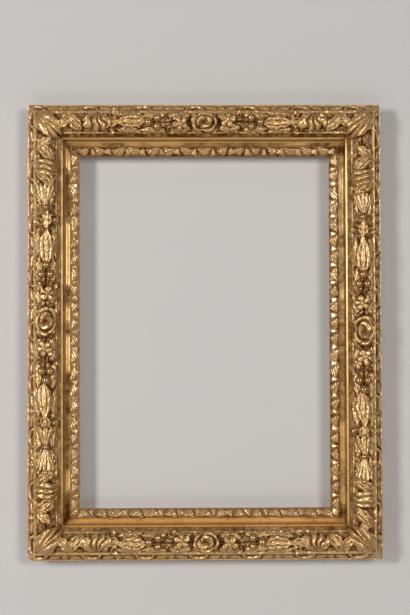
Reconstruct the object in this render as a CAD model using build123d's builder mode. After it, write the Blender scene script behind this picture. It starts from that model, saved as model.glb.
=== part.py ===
from build123d import *
import os
from math import atan2, cos, degrees, radians, sin

# Carved and gilded picture frame, upright, front towards -Y, top towards +Z, in millimetres.
# An oak back frame, half-lapped and pegged at its corners, carries three rings of mitred mouldings:
# the wide carved torus, the plain hollow, and the carved sight slip that overhangs the rabbet.
# The origin is on the axis of the hanging ring, behind the middle of the top rail.

# Opening seen from the front, and the rabbet behind it
SIGHT_WIDTH = 320.0
SIGHT_HEIGHT = 450.0
RABBET_LEDGE = 8.0
BACK_THICKNESS = 18.0
BACK_INSET = 3.0

# Section of the carved moulding, from the outer edge inwards, with heights above the back frame
# The torus is measured to the ground of its carving, which is cut in flats
BAND_WIDTH = 8.5
BAND_FOOT = 5.0
BAND_RIM = 0.8
BAND_SINK = 1.4
OUTER_FILLET = 3.0
FILLET_HEIGHT = 15.0
TORUS_WIDTH = 26.5
TORUS_HEIGHT = 20.5
TORUS_FLATS = 6
GROUND_WIDTH = 4.5
GROUND_HEIGHT = 13.0

# Section of the hollow moulding
BEAD_WIDTH = 3.0
BEAD_RISE = 1.6
SCOTIA_WIDTH = 8.0
SCOTIA_FLOOR = 6.5
SCOTIA_SAG = 2.3
INNER_FILLET = 1.0

# Section of the sight slip, whose tongue lies under the hollow moulding
SLIP_FILLET = 1.5
SLIP_SLOPE = 10.0
SLIP_HEIGHT = 8.5
SLIP_LIP = 3.5
TONGUE_WIDTH = 7.0
TONGUE_THICKNESS = 4.0

# Corner pegs of the back frame
PEG_SIZE = 8.0
PEG_SPACING = 26.0
PEG_CLEARANCE = 0.05

# Loops of ribbon on the outer band, and the small flowers between them
LOOP_PITCH = 68.0
LOOP_WIDTH = 26.0
LOOP_DROP = 9.6
LOOP_STRAP = 3.6
LOOP_RISE = 2.4
BLOOM_SIZE = 8.0
FIRST_LOOP = {"top": 12.0, "bottom": -9.0, "left": -1.0, "right": -26.0}
LOOP_FROM_MITRE = 4.0

# Cuts that every carved leaf shares: its foot below the ground, its edge and its midrib above it
LEAF_SINK = 6.0
LEAF_EDGE = 2.4
LEAF_RISE = 5.4
LEAF_BEVEL = 1.2
MIDRIB_SHARE = 0.5
LEAF_SHOULDER = 0.2

# Oval rose in the middle of each side
ROSE_WIDTH = 24.0
RAIL_ROSE_LENGTH = 31.0
STILE_ROSE_LENGTH = 40.0
ROSE_RISE = 4.8
ROSE_BEVEL = 2.0
ROSE_FLATS = 8
ROSE_HEART = 13.0
ROSE_HEART_RISE = 7.7
LEFT_ROSE_LIFT = 13.0

# Motifs of each half garland, outwards from the rose, with the distances of their middles from its middle
RAIL_GARLAND = {
    "flowers": 27.0,
    "berries": 60.0,
    "husk": 95.0,
    "curls": 117.0,
    "fan": 138.0,
    "bracts": 172.0,
}
UPPER_GARLAND = {
    "flowers": 32.0,
    "berries": 60.0,
    "husk": 98.0,
    "curls": 128.0,
    "fan": 158.0,
    "swag": 196.0,
    "bracts": 221.0,
}
LOWER_GARLAND = {
    "flowers": 31.0,
    "berries": 63.0,
    "husk": 102.0,
    "bell": 146.0,
    "fan": 172.0,
    "swag": 214.0,
    "bracts": 240.0,
}
FLOWER_SIZE = 16.0
FLOWER_TILT = 27.0
FLOWER_RISE = 4.4
BERRY_SIZE = 11.0
BERRY_TILT = 20.0
BERRY_LEAD = 12.0
BERRY_RISE = 6.2
MOTIF_BEVEL = 1.6
MOTIF_FLATS = 6
HUSK_LENGTH = 40.0
HUSK_WIDTH = 18.0
HUSK_FLANK = 30.0
HUSK_FLANK_WIDTH = 13.0
HUSK_SPLAY = 10.0
CURL_SIZE = 16.0
CURL_TILT = 29.0
FAN_LOBES = 3
FAN_LOBE_LENGTH = 24.0
FAN_LOBE_WIDTH = 10.0
FAN_LOBE_STEP = 10.0
FAN_LOBE_SPLAY = 28.0
BELL_LENGTH = 26.0
BELL_WIDTH = 21.0
SWAG_LENGTH = 18.0
SWAG_SINK = 1.0
SWAG_RISE = 5.0
SWAG_TILT = 44.0
BRACT_STEP = 6.0
BRACT_LENGTH = 28.0
BRACT_WIDTH = 16.0
BRACT_TURN = 48.0
CORNER_LEAF_LENGTH = 44.0
CORNER_LEAF_WIDTH = 24.0
CORNER_LEAF_SINK = 7.0

# Leaf tips cut on the sight slip
LEAF_TIP_PITCH = 10.7
LEAF_TIP_RISE = 1.4
LEAF_TIP_GAP = 0.8

# Hanging ring, and the plate that holds it on the back of the top rail
RING_WIRE = 1.5
RING_STRIP = 3.0
RING_THICKNESS = 2.4
RING_HALF_WIDTH = 12.5
RING_DROP = 28.0
RING_CLEARANCE = 0.05
RING_BELOW_TOP = 30.0
PLATE_WIDTH = 14.0
PLATE_THICKNESS = 1.2
PLATE_TAIL = 16.0
PLATE_CLIP = 4.0
HANGER_SCREW_DROP = 10.0

# Turn buttons that keep a picture in the rabbet, two on each stile
BUTTON_LENGTH = 24.0
BUTTON_WIDTH = 9.0
BUTTON_CLIP = 2.5
BUTTON_THICKNESS = 1.6
BUTTON_FROM_RABBET = 10.0
BUTTON_SPREAD = 260.0
BUTTON_GAP = 0.15
BUTTON_CLEARANCE = 0.06

# Cheese-head wood screws
SCREW_RADIUS = 1.5
SCREW_LENGTH = 12.0
SCREW_HEAD_RADIUS = 3.0
SCREW_HEAD_HEIGHT = 1.7
SCREW_SLOT_WIDTH = 0.7
SCREW_SLOT_DEPTH = 0.7
SCREW_CLEARANCE = 0.04

# Widths and places that follow from the driving sizes
CARVED_WIDTH = BAND_WIDTH + OUTER_FILLET + TORUS_WIDTH + GROUND_WIDTH
HOLLOW_WIDTH = BEAD_WIDTH + SCOTIA_WIDTH + INNER_FILLET
SLIP_START = CARVED_WIDTH + HOLLOW_WIDTH
RAIL_WIDTH = SLIP_START + SLIP_FILLET + SLIP_SLOPE
OUTER_WIDTH = SIGHT_WIDTH + 2 * RAIL_WIDTH
OUTER_HEIGHT = SIGHT_HEIGHT + 2 * RAIL_WIDTH
BACK_INNER = RAIL_WIDTH - RABBET_LEDGE
BACK_WIDTH = BACK_INNER - BACK_INSET
LAP = BACK_THICKNESS / 2
KNUCKLE_BORE = RING_WIRE + RING_CLEARANCE
KNUCKLE_RADIUS = KNUCKLE_BORE + PLATE_THICKNESS
BACK_Y = -KNUCKLE_RADIUS
CENTRE = Vector(0, BACK_Y, RING_BELOW_TOP - OUTER_HEIGHT / 2)
FRONT = Vector(0, -1, 0)

# The ground of the torus is one arc from the outer fillet to the inner ground, through its crest
TORUS_START = BAND_WIDTH + OUTER_FILLET
TORUS_END = TORUS_START + TORUS_WIDTH
TORUS_CREST = TORUS_START + TORUS_WIDTH / 2
TORUS_RISE = TORUS_HEIGHT - (FILLET_HEIGHT + GROUND_HEIGHT) / 2
TORUS_RADIUS = ((TORUS_WIDTH / 2) ** 2 + TORUS_RISE**2) / (2 * TORUS_RISE)
TORUS_AXIS = BACK_THICKNESS + TORUS_HEIGHT - TORUS_RADIUS

SCREW_HOLE = SCREW_RADIUS + SCREW_CLEARANCE
BUTTON_HEAD_SEAT = BUTTON_THICKNESS + 2 * BUTTON_GAP


class Side:
    """One side of the frame. Its local x runs inwards from the outer edge, y to the front, z along it."""

    def __init__(self, name, inward, length, reach):
        self.name = name
        self.length = length
        self.is_stile = name in ("left", "right")
        self.rose_at = -LEFT_ROSE_LIFT if name == "left" else 0.0
        self.plane = Plane(CENTRE - inward * reach, x_dir=inward, z_dir=inward.cross(FRONT))

    def face(self, along, inwards, height, tilt=0.0):
        """A plane on the side, facing the front or tilted inwards by some degrees, with x along the side."""
        normal = self.plane.x_dir * sin(radians(tilt)) + FRONT * cos(radians(tilt))
        place = self.plane.from_local_coords((inwards, height, along))
        return Plane(place, x_dir=self.plane.z_dir, z_dir=normal)

    def on_torus(self, along, tilt=0.0):
        """A plane that touches the torus where it slopes by tilt degrees."""
        inwards = TORUS_CREST + TORUS_RADIUS * sin(radians(tilt))
        height = TORUS_AXIS + TORUS_RADIUS * cos(radians(tilt))
        return self.face(along, inwards, height, tilt)

    def mitres(self):
        """The two 45 degree planes through the outer corners, facing away from the side."""
        for end in (1, -1):
            corner = self.plane.from_local_coords((0, 0, end * self.length / 2))
            yield Plane(corner, z_dir=self.plane.z_dir * end + self.plane.x_dir)


SIDES = [
    Side("top", Vector(0, 0, -1), OUTER_WIDTH, OUTER_HEIGHT / 2),
    Side("bottom", Vector(0, 0, 1), OUTER_WIDTH, OUTER_HEIGHT / 2),
    Side("left", Vector(1, 0, 0), OUTER_HEIGHT, OUTER_WIDTH / 2),
    Side("right", Vector(-1, 0, 0), OUTER_HEIGHT, OUTER_WIDTH / 2),
]


def keep(part, name):
    """Labels a finished piece and writes its STEP file."""
    part.label = name
    export_step(part, f"parts/{name}.step")


def behind(places, off=0.0):
    """Planes on the back of the frame, or off it towards the wall, that face the wall."""
    return [Plane((x, BACK_Y + off, z), x_dir=(-1, 0, 0), z_dir=(0, 1, 0)) for x, z in places]


# Places of the pegs, the buttons and the hanger's screw on the back, as x and z


def peg_places():
    """Two pegs on the diagonal of each corner lap."""
    lap_middle = BACK_INSET + BACK_WIDTH / 2
    places = []
    for right in (1, -1):
        for up in (1, -1):
            for step in (PEG_SPACING / 2, -PEG_SPACING / 2):
                x = OUTER_WIDTH / 2 - lap_middle + step
                z = OUTER_HEIGHT / 2 - lap_middle + step
                places.append((right * x, CENTRE.Z + up * z))
    return places


PEG_PLACES = peg_places()
BUTTON_X = OUTER_WIDTH / 2 - BACK_INNER + BUTTON_FROM_RABBET
BUTTON_PLACES = {
    "left_upper": (-BUTTON_X, CENTRE.Z + BUTTON_SPREAD / 2),
    "left_lower": (-BUTTON_X, CENTRE.Z - BUTTON_SPREAD / 2),
    "right_upper": (BUTTON_X, CENTRE.Z + BUTTON_SPREAD / 2),
    "right_lower": (BUTTON_X, CENTRE.Z - BUTTON_SPREAD / 2),
}
HANGER_SCREW_PLACE = (0, -HANGER_SCREW_DROP)


# Back frame: the stiles keep their back halves at the corner laps, the rails their front halves


def make_back_member(side):
    half = side.length / 2 - BACK_INSET
    lap_foot = LAP if side.is_stile else 0.0
    with BuildPart() as member:
        with BuildSketch(side.plane):
            with Locations((BACK_INSET, 0)):
                Rectangle(BACK_WIDTH, BACK_THICKNESS, align=Align.MIN)
        extrude(amount=half, both=True)
        for end in (1, -1):
            with BuildSketch(side.plane.offset(end * half)):
                with Locations((BACK_INSET, lap_foot)):
                    Rectangle(BACK_WIDTH, LAP, align=Align.MIN)
            extrude(amount=-end * BACK_WIDTH, mode=Mode.SUBTRACT)
        with Locations(*behind(PEG_PLACES)):
            Box(
                PEG_SIZE + 2 * PEG_CLEARANCE,
                PEG_SIZE + 2 * PEG_CLEARANCE,
                BACK_THICKNESS,
                align=(Align.CENTER, Align.CENTER, Align.MAX),
                mode=Mode.SUBTRACT,
            )
        if side.is_stile:
            with Locations(*behind(BUTTON_PLACES.values())):
                Hole(SCREW_HOLE, SCREW_LENGTH)
        if side.name == "top":
            with Locations(*behind([HANGER_SCREW_PLACE])):
                Hole(SCREW_HOLE, SCREW_LENGTH)
    keep(member.part, f"back_{side.name}_{'stile' if side.is_stile else 'rail'}")


def make_corner_pegs():
    with BuildPart() as pegs:
        with Locations(*behind(PEG_PLACES)):
            Box(PEG_SIZE, PEG_SIZE, BACK_THICKNESS, align=(Align.CENTER, Align.CENTER, Align.MAX))
    keep(pegs.part, "corner_pegs")


# Ribbon on the outer band


def band_relief(side):
    """Loops of ribbon that hang from the fillet, open towards it, with a small flower between each two."""
    tilt = -degrees(atan2(FILLET_HEIGHT - BAND_FOOT, BAND_WIDTH))
    level = BACK_THICKNESS + (BAND_FOOT + FILLET_HEIGHT) / 2
    reach = side.length / 2 - BAND_WIDTH - LOOP_FROM_MITRE
    count = int(side.length / LOOP_PITCH)
    relief = []
    for half_step in range(-2 * count, 2 * count + 1):
        at = FIRST_LOOP[side.name] + half_step * LOOP_PITCH / 2
        is_loop = half_step % 2 == 0
        if abs(at) + (LOOP_WIDTH if is_loop else BLOOM_SIZE) / 2 < reach:
            seat = side.face(at, BAND_WIDTH / 2, level, tilt).offset(-BAND_SINK)
            relief.append(loop(seat) if is_loop else bloom(seat))
    return relief


def loop(face):
    """One hanging loop of flat ribbon, cut with straight sides."""
    with BuildPart() as made:
        with BuildSketch(face):
            for shrink, mode in ((0, Mode.ADD), (LOOP_STRAP, Mode.SUBTRACT)):
                half, top, low = LOOP_WIDTH / 2 - shrink, LOOP_DROP / 2, shrink - LOOP_DROP / 2
                Polygon((-half, top), (-half / 2, low), (half / 2, low), (half, top), align=None, mode=mode)
        extrude(amount=LOOP_RISE)
    return made.part


def bloom(face):
    """A small flower cut as a pyramid on its corner."""
    half = BLOOM_SIZE / 2
    with BuildPart(face) as made:
        ConvexPolyhedron([(half, 0, 0), (-half, 0, 0), (0, half, 0), (0, -half, 0), (0, 0, LOOP_RISE)])
    return made.part


# Carving on the torus


def leaf(face, length, width, turn=0.0, sink=LEAF_SINK):
    """A leaf of straight chisel cuts: steep at its edge, with two slopes that rise to its midrib."""
    along = face.x_dir * cos(radians(turn)) + face.y_dir * sin(radians(turn))
    points = []
    for end in (1, -1):
        points.append((end * length * MIDRIB_SHARE / 2, 0, LEAF_RISE))
        for level, inset in ((-sink, 0), (LEAF_EDGE, LEAF_BEVEL)):
            points.append((end * (length / 2 - inset), 0, level))
            for flank in (1, -1):
                points.append((end * length * LEAF_SHOULDER, flank * (width / 2 - inset), level))
    with BuildPart(Plane(face.origin, x_dir=along, z_dir=face.z_dir)) as made:
        ConvexPolyhedron(points)
    return made.part


def boss(face, length, width, rise, bevel, flats):
    """An oval boss cut with flats, which lean in by bevel on the way up."""
    points = []
    for level, inset in ((-LEAF_SINK / 2, 0), (rise, bevel)):
        for i in range(flats):
            turn = radians(360 * i / flats)
            points.append(((length / 2 - inset) * cos(turn), (width / 2 - inset) * sin(turn), level))
    with BuildPart(face) as made:
        ConvexPolyhedron(points)
    return made.part


def rose(face, length):
    """An oval rose: a broad boss for its petals, and a higher one for its heart."""
    heart_length = length - ROSE_WIDTH + ROSE_HEART
    return [
        boss(face, length, ROSE_WIDTH, ROSE_RISE, ROSE_BEVEL, ROSE_FLATS),
        boss(face, heart_length, ROSE_HEART, ROSE_HEART_RISE, ROSE_BEVEL, ROSE_FLATS),
    ]


def round_motif(side, along, tilt, size, rise):
    """A flower, a berry or a curl: a round boss on a flank of the torus."""
    return boss(side.on_torus(along, tilt), size, size, rise, MOTIF_BEVEL, MOTIF_FLATS)


def flowers(side, along, way):
    return [round_motif(side, along, flank * FLOWER_TILT, FLOWER_SIZE, FLOWER_RISE) for flank in (1, -1)]


def berries(side, along, way):
    """Two berries side by side, and a third further out."""
    pair = [round_motif(side, along, flank * BERRY_TILT, BERRY_SIZE, BERRY_RISE) for flank in (1, -1)]
    return pair + [round_motif(side, along + way * BERRY_LEAD, 0, BERRY_SIZE, BERRY_RISE)]


def husk(side, along, way):
    """A long leaf between two that splay towards the rose."""
    made = [leaf(side.on_torus(along), HUSK_LENGTH, HUSK_WIDTH)]
    for flank in (1, -1):
        seat = side.on_torus(along, flank * HUSK_FLANK)
        made.append(leaf(seat, HUSK_LENGTH, HUSK_FLANK_WIDTH, -way * flank * HUSK_SPLAY))
    return made


def curls(side, along, way):
    return [round_motif(side, along, flank * CURL_TILT, CURL_SIZE, FLOWER_RISE) for flank in (1, -1)]


def fan(side, along, way):
    """Lobes that spread across the crest of the torus from its outer side."""
    made = []
    for i in range(FAN_LOBES):
        lobe = i - (FAN_LOBES - 1) / 2
        seat = side.on_torus(along + lobe * FAN_LOBE_STEP)
        made.append(leaf(seat, FAN_LOBE_LENGTH, FAN_LOBE_WIDTH, 90 - lobe * FAN_LOBE_SPLAY))
    return made


def bell(side, along, way):
    return [leaf(side.on_torus(along), BELL_LENGTH, BELL_WIDTH)]


def swag(side, along, way):
    """A broad petal laid round the torus."""
    points = []
    for level, inset in ((-SWAG_SINK, 0), (SWAG_RISE, MOTIF_BEVEL)):
        radius, half = TORUS_RADIUS + level, SWAG_LENGTH / 2 - inset
        for step in range(-TORUS_FLATS // 2, TORUS_FLATS // 2 + 1):
            tilt = radians(2 * step / TORUS_FLATS * SWAG_TILT)
            inwards = TORUS_CREST + radius * sin(tilt)
            height = TORUS_AXIS + radius * cos(tilt)
            points += [(inwards, height, along + half), (inwards, height, along - half)]
    with BuildPart(side.plane) as made:
        ConvexPolyhedron(points)
    return [made.part]


def bracts(side, along, way):
    """Two leaves that lean across the torus, one after the other."""
    made = []
    for flank in (1, -1):
        seat = side.on_torus(along - way * flank * BRACT_STEP)
        made.append(leaf(seat, BRACT_LENGTH, BRACT_WIDTH, -way * flank * BRACT_TURN))
    return made


MOTIFS = {
    "flowers": flowers,
    "berries": berries,
    "husk": husk,
    "curls": curls,
    "fan": fan,
    "bell": bell,
    "swag": swag,
    "bracts": bracts,
}


def half_garland(side, way):
    """Half of a side's carving, from its rose to one corner. way is 1 or -1 along the side."""
    garland = RAIL_GARLAND
    if side.is_stile:
        downwards = side.plane.z_dir.Z * way < 0
        garland = LOWER_GARLAND if downwards else UPPER_GARLAND
    relief = []
    for name, distance in garland.items():
        relief += MOTIFS[name](side, side.rose_at + way * distance, way)
    corner = side.face(way * (side.length / 2 - TORUS_CREST), TORUS_CREST, BACK_THICKNESS + TORUS_HEIGHT)
    relief.append(leaf(corner, CORNER_LEAF_LENGTH, CORNER_LEAF_WIDTH, -way * 45, CORNER_LEAF_SINK))
    return relief


def make_carved(side):
    foot = BACK_THICKNESS
    fillet_level = foot + FILLET_HEIGHT
    ground_level = foot + GROUND_HEIGHT
    band_foot = Vector(0, foot + BAND_FOOT)
    band_top = Vector(BAND_WIDTH, fillet_level)
    up_band = (band_top - band_foot).normalized()
    sunk = Vector(up_band.Y, -up_band.X) * BAND_SINK
    rim_foot, rim_top = band_foot + up_band * BAND_RIM, band_top - up_band * BAND_RIM
    rose_length = STILE_ROSE_LENGTH if side.is_stile else RAIL_ROSE_LENGTH
    relief = rose(side.on_torus(side.rose_at), rose_length)
    relief += half_garland(side, 1) + half_garland(side, -1)
    relief += band_relief(side)
    with BuildPart() as carved:
        with BuildSketch(side.plane):
            with BuildLine():
                torus = ThreePointArc(
                    (TORUS_START, fillet_level),
                    (TORUS_CREST, foot + TORUS_HEIGHT),
                    (TORUS_END, ground_level),
                    mode=Mode.PRIVATE,
                )
                Polyline(
                    *[torus @ (i / TORUS_FLATS) for i in range(TORUS_FLATS + 1)],
                    (CARVED_WIDTH, ground_level),
                    (CARVED_WIDTH, foot),
                    (0, foot),
                    band_foot,
                    rim_foot,
                    rim_foot + sunk,
                    rim_top + sunk,
                    rim_top,
                    band_top,
                    close=True,
                )
            make_face()
        extrude(amount=side.length / 2, both=True)
        add(relief)
        for mitre in side.mitres():
            split(bisect_by=mitre, keep=Keep.BOTTOM)
    keep(carved.part, f"carved_{side.name}")


# Hollow moulding: a bead, a scotia and a fillet, rebated below for the tongue of the slip


def make_hollow(side):
    foot = BACK_THICKNESS
    shoulder = foot + GROUND_HEIGHT
    floor = foot + SCOTIA_FLOOR
    tongue_top = foot + TONGUE_THICKNESS
    bead_end = CARVED_WIDTH + BEAD_WIDTH
    scotia_end = bead_end + SCOTIA_WIDTH
    bead_top = (CARVED_WIDTH + BEAD_WIDTH / 2, shoulder + BEAD_RISE)
    scotia_middle = ((bead_end + scotia_end) / 2 - SCOTIA_SAG, (shoulder + floor) / 2 - SCOTIA_SAG)
    with BuildPart() as hollow:
        with BuildSketch(side.plane):
            with BuildLine():
                ThreePointArc((CARVED_WIDTH, shoulder), bead_top, (bead_end, shoulder))
                ThreePointArc((bead_end, shoulder), scotia_middle, (scotia_end, floor))
                Polyline(
                    (scotia_end, floor),
                    (SLIP_START, floor),
                    (SLIP_START, tongue_top),
                    (SLIP_START - TONGUE_WIDTH, tongue_top),
                    (SLIP_START - TONGUE_WIDTH, foot),
                    (CARVED_WIDTH, foot),
                    (CARVED_WIDTH, shoulder),
                )
            make_face()
        extrude(amount=side.length / 2, both=True)
        for mitre in side.mitres():
            split(bisect_by=mitre, keep=Keep.BOTTOM)
    keep(hollow.part, f"hollow_{side.name}")


# Sight slip: a tongue, a fillet and a slope cut with leaf tips that point towards the opening


def make_sight(side):
    foot = BACK_THICKNESS
    top = foot + SLIP_HEIGHT
    slope_start = SLIP_START + SLIP_FILLET
    fall = SLIP_HEIGHT - SLIP_LIP
    slope = Vector(SLIP_SLOPE, fall)
    slope_middle = side.face(
        0, slope_start + SLIP_SLOPE / 2, top - fall / 2, slope.get_angle(Vector(1, 0))
    )
    tip_count = int((side.length - 2 * RAIL_WIDTH) / LEAF_TIP_PITCH)
    tip_half_width = (LEAF_TIP_PITCH - LEAF_TIP_GAP) / 2
    tip_end = slope.length / 2 - LEAF_TIP_GAP
    tip = [
        (-tip_half_width, -tip_end, 0),
        (tip_half_width, -tip_end, 0),
        (0, -tip_end, LEAF_TIP_RISE),
        (0, tip_end, 0),
    ]
    with BuildPart() as slip:
        with BuildSketch(side.plane):
            Polygon(
                (SLIP_START - TONGUE_WIDTH, foot),
                (SLIP_START - TONGUE_WIDTH, foot + TONGUE_THICKNESS),
                (SLIP_START, foot + TONGUE_THICKNESS),
                (SLIP_START, top),
                (slope_start, top),
                (RAIL_WIDTH, foot + SLIP_LIP),
                (RAIL_WIDTH, foot),
                align=None,
            )
        extrude(amount=side.length / 2, both=True)
        with Locations(slope_middle):
            with GridLocations(LEAF_TIP_PITCH, 0, tip_count, 1):
                ConvexPolyhedron(tip)
        for mitre in side.mitres():
            split(bisect_by=mitre, keep=Keep.BOTTOM)
    keep(slip.part, f"sight_{side.name}")


# Hanging ring on its plate


def make_hanger_plate():
    """The plate wraps a knuckle round the ring's bar, and its tail lies on the back of the top rail."""
    with BuildPart() as plate:
        with BuildSketch(Plane.YZ):
            Circle(KNUCKLE_RADIUS)
            with Locations((BACK_Y, 0)):
                Rectangle(PLATE_THICKNESS, PLATE_TAIL, align=(Align.MIN, Align.MAX))
            Circle(KNUCKLE_BORE, mode=Mode.SUBTRACT)
        extrude(amount=PLATE_WIDTH / 2, both=True)
        chamfer(plate.edges().filter_by(Axis.Y).group_by(Axis.Z)[0], PLATE_CLIP)
        with Locations(*behind([HANGER_SCREW_PLACE], PLATE_THICKNESS)):
            Hole(SCREW_HOLE, PLATE_THICKNESS)
    keep(plate.part, "hanger_plate")


def make_hanging_ring():
    """A flat ring with a round bar that turns in the knuckle. It hangs round the plate, clear of it."""
    arc_level = RING_HALF_WIDTH - RING_DROP
    shape = ((RING_HALF_WIDTH, Mode.ADD), (RING_HALF_WIDTH - RING_STRIP, Mode.SUBTRACT))
    with BuildPart() as ring:
        with BuildSketch(Plane.XZ):
            for radius, mode in shape:
                top = RING_WIRE - RING_HALF_WIDTH + radius
                with Locations((0, arc_level)):
                    Circle(radius, mode=mode)
                    Rectangle(2 * radius, top - arc_level, align=(Align.CENTER, Align.MIN), mode=mode)
        extrude(amount=RING_THICKNESS / 2, both=True)
        with Locations((0, 0, 0)):
            Box(
                2 * (RING_HALF_WIDTH - RING_STRIP),
                2 * RING_WIRE,
                2 * RING_WIRE,
                mode=Mode.SUBTRACT,
            )
        with BuildSketch(Plane.YZ):
            Circle(RING_WIRE)
        extrude(amount=RING_HALF_WIDTH - RING_STRIP, both=True)
    keep(ring.part, "hanging_ring")


def make_screws(places, head_seat, name):
    """Cheese-head screws driven in from behind, each with a slot across its head."""
    with BuildPart() as screws:
        with Locations(*behind(places, head_seat)):
            Cylinder(SCREW_RADIUS, SCREW_LENGTH, align=(Align.CENTER, Align.CENTER, Align.MAX))
            Cylinder(SCREW_HEAD_RADIUS, SCREW_HEAD_HEIGHT, align=(Align.CENTER, Align.CENTER, Align.MIN))
        with Locations(*behind(places, head_seat + SCREW_HEAD_HEIGHT)):
            Box(
                2 * SCREW_HEAD_RADIUS,
                SCREW_SLOT_WIDTH,
                SCREW_SLOT_DEPTH,
                align=(Align.CENTER, Align.CENTER, Align.MAX),
                mode=Mode.SUBTRACT,
            )
    keep(screws.part, name)


def make_turn_button(name, place):
    """A brass strip with clipped corners, on its screw, parked along the stile with its tip down."""
    with BuildPart() as button:
        with BuildSketch(behind([place], BUTTON_GAP)[0]):
            with Locations((0, BUTTON_WIDTH / 2)):
                Rectangle(BUTTON_WIDTH, BUTTON_LENGTH, align=(Align.CENTER, Align.MAX))
            chamfer(vertices(), BUTTON_CLIP)
            Circle(SCREW_RADIUS + BUTTON_CLEARANCE, mode=Mode.SUBTRACT)
        extrude(amount=BUTTON_THICKNESS)
    keep(button.part, f"turn_button_{name}")


os.makedirs("parts", exist_ok=True)
for side in SIDES:
    make_back_member(side)
    make_carved(side)
    make_hollow(side)
    make_sight(side)
make_corner_pegs()
make_hanger_plate()
make_hanging_ring()
make_screws([HANGER_SCREW_PLACE], PLATE_THICKNESS, "hanger_screw")
for name, place in BUTTON_PLACES.items():
    make_turn_button(name, place)
make_screws(BUTTON_PLACES.values(), BUTTON_HEAD_SEAT, "turn_button_screws")
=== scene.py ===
from math import atan2, cos, hypot, pi, radians, sin
import bpy
import numpy as np
from mathutils import Matrix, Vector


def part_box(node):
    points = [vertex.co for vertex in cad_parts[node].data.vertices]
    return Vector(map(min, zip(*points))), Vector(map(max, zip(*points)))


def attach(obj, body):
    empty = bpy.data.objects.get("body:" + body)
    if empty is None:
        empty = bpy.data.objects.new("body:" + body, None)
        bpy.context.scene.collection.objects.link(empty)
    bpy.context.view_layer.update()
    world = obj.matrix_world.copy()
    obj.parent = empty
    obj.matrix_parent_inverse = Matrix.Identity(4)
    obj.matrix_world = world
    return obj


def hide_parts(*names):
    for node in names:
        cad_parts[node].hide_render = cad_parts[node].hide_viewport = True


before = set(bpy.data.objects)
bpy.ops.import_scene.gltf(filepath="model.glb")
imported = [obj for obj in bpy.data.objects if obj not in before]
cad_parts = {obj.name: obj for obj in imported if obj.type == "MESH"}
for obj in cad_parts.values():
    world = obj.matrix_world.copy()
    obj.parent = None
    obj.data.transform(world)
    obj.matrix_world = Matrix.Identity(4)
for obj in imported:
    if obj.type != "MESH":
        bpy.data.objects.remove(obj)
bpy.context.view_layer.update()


# Oak back frame: two rails and two stiles, half-lapped at the corners, with square pegs through each lap.
# Plain planed oak, left bare behind, gone brown and dusty with age. The mouldings are glued to its front.
def shade(red, green, blue):
    """A colour written in screen values from 0 to 255, as the shader wants it."""
    values = [v / 255 for v in (red, green, blue)]
    linear = [v / 12.92 if v < 0.04 else ((v + 0.055) / 1.055) ** 2.4 for v in values]
    return (*linear, 1.0)


class Finish:
    """A material and short ways to add nodes to it or, given a group's tree, to that group."""

    def __init__(self, name, tree=None):
        if tree is None:
            self.material = bpy.data.materials.new(name)
            self.material.use_nodes = True
            tree = self.material.node_tree
            self.skin = tree.nodes["Principled BSDF"]
        self.tree = tree

    def add(self, kind, inputs=None, **settings):
        node = self.tree.nodes.new(kind)
        for key, value in settings.items():
            setattr(node, key, value)
        for key, value in (inputs or {}).items():
            self.feed(value, node.inputs[key])
        return node

    def get(self, kind, inputs=None, **settings):
        """The first output of a new node."""
        return self.add(kind, inputs, **settings).outputs[0]

    def feed(self, value, socket):
        if isinstance(value, bpy.types.NodeSocket):
            self.tree.links.new(value, socket)
        else:
            socket.default_value = value

    def noise(self, place, scale, detail=3.0, rough=0.55):
        inputs = {"Vector": place, "Scale": scale, "Detail": detail, "Roughness": rough}
        return self.get("ShaderNodeTexNoise", inputs)

    def sum(self, first, second, how="ADD", clamp=False):
        return self.get("ShaderNodeMath", {0: first, 1: second}, operation=how, use_clamp=clamp)

    def times(self, first, second, clamp=False):
        return self.sum(first, second, "MULTIPLY", clamp)

    def span(self, value, low, high, to_low=0.0, to_high=1.0):
        inputs = {"Value": value, "From Min": low, "From Max": high, "To Min": to_low, "To Max": to_high}
        return self.get("ShaderNodeMapRange", inputs)

    def blend(self, share, first, second, how="MIX"):
        inputs = {"Factor": share, "A": first, "B": second}
        return self.add("ShaderNodeMix", inputs, data_type="RGBA", blend_type=how).outputs["Result"]

    def place(self, stretch=(1, 1, 1)):
        spot = self.add("ShaderNodeTexCoord").outputs["Object"]
        return self.get("ShaderNodeMapping", {"Vector": spot, "Scale": stretch})

    def bump(self, height, strength, distance):
        inputs = {"Height": height, "Strength": strength, "Distance": distance}
        return self.get("ShaderNodeBump", inputs)

    def wear(self, **skin):
        for key, value in skin.items():
            self.feed(value, self.skin.inputs[key.replace("_", " ")])
        return self.material


OAK_PALE = shade(158, 124, 84)
OAK_DARK = shade(112, 80, 50)
OAK_PORE = shade(66, 44, 26)
OAK_DUST = shade(146, 126, 102)
FIGURE_SCALE = 34.0
STREAK_SCALE = 190.0
PORE_SCALE = 720.0
GRIME_SCALE = 11.0
STREAK_SHARE = 0.35
PORE_SHARE = 0.75
OAK_SMOOTHEST = 0.62
OAK_ROUGHEST = 0.8
GRAIN_STRENGTH = 0.5
GRAIN_DEPTH = 0.0004
GRAIN_STRETCH = 0.055
DUSTINESS = 0.5


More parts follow.
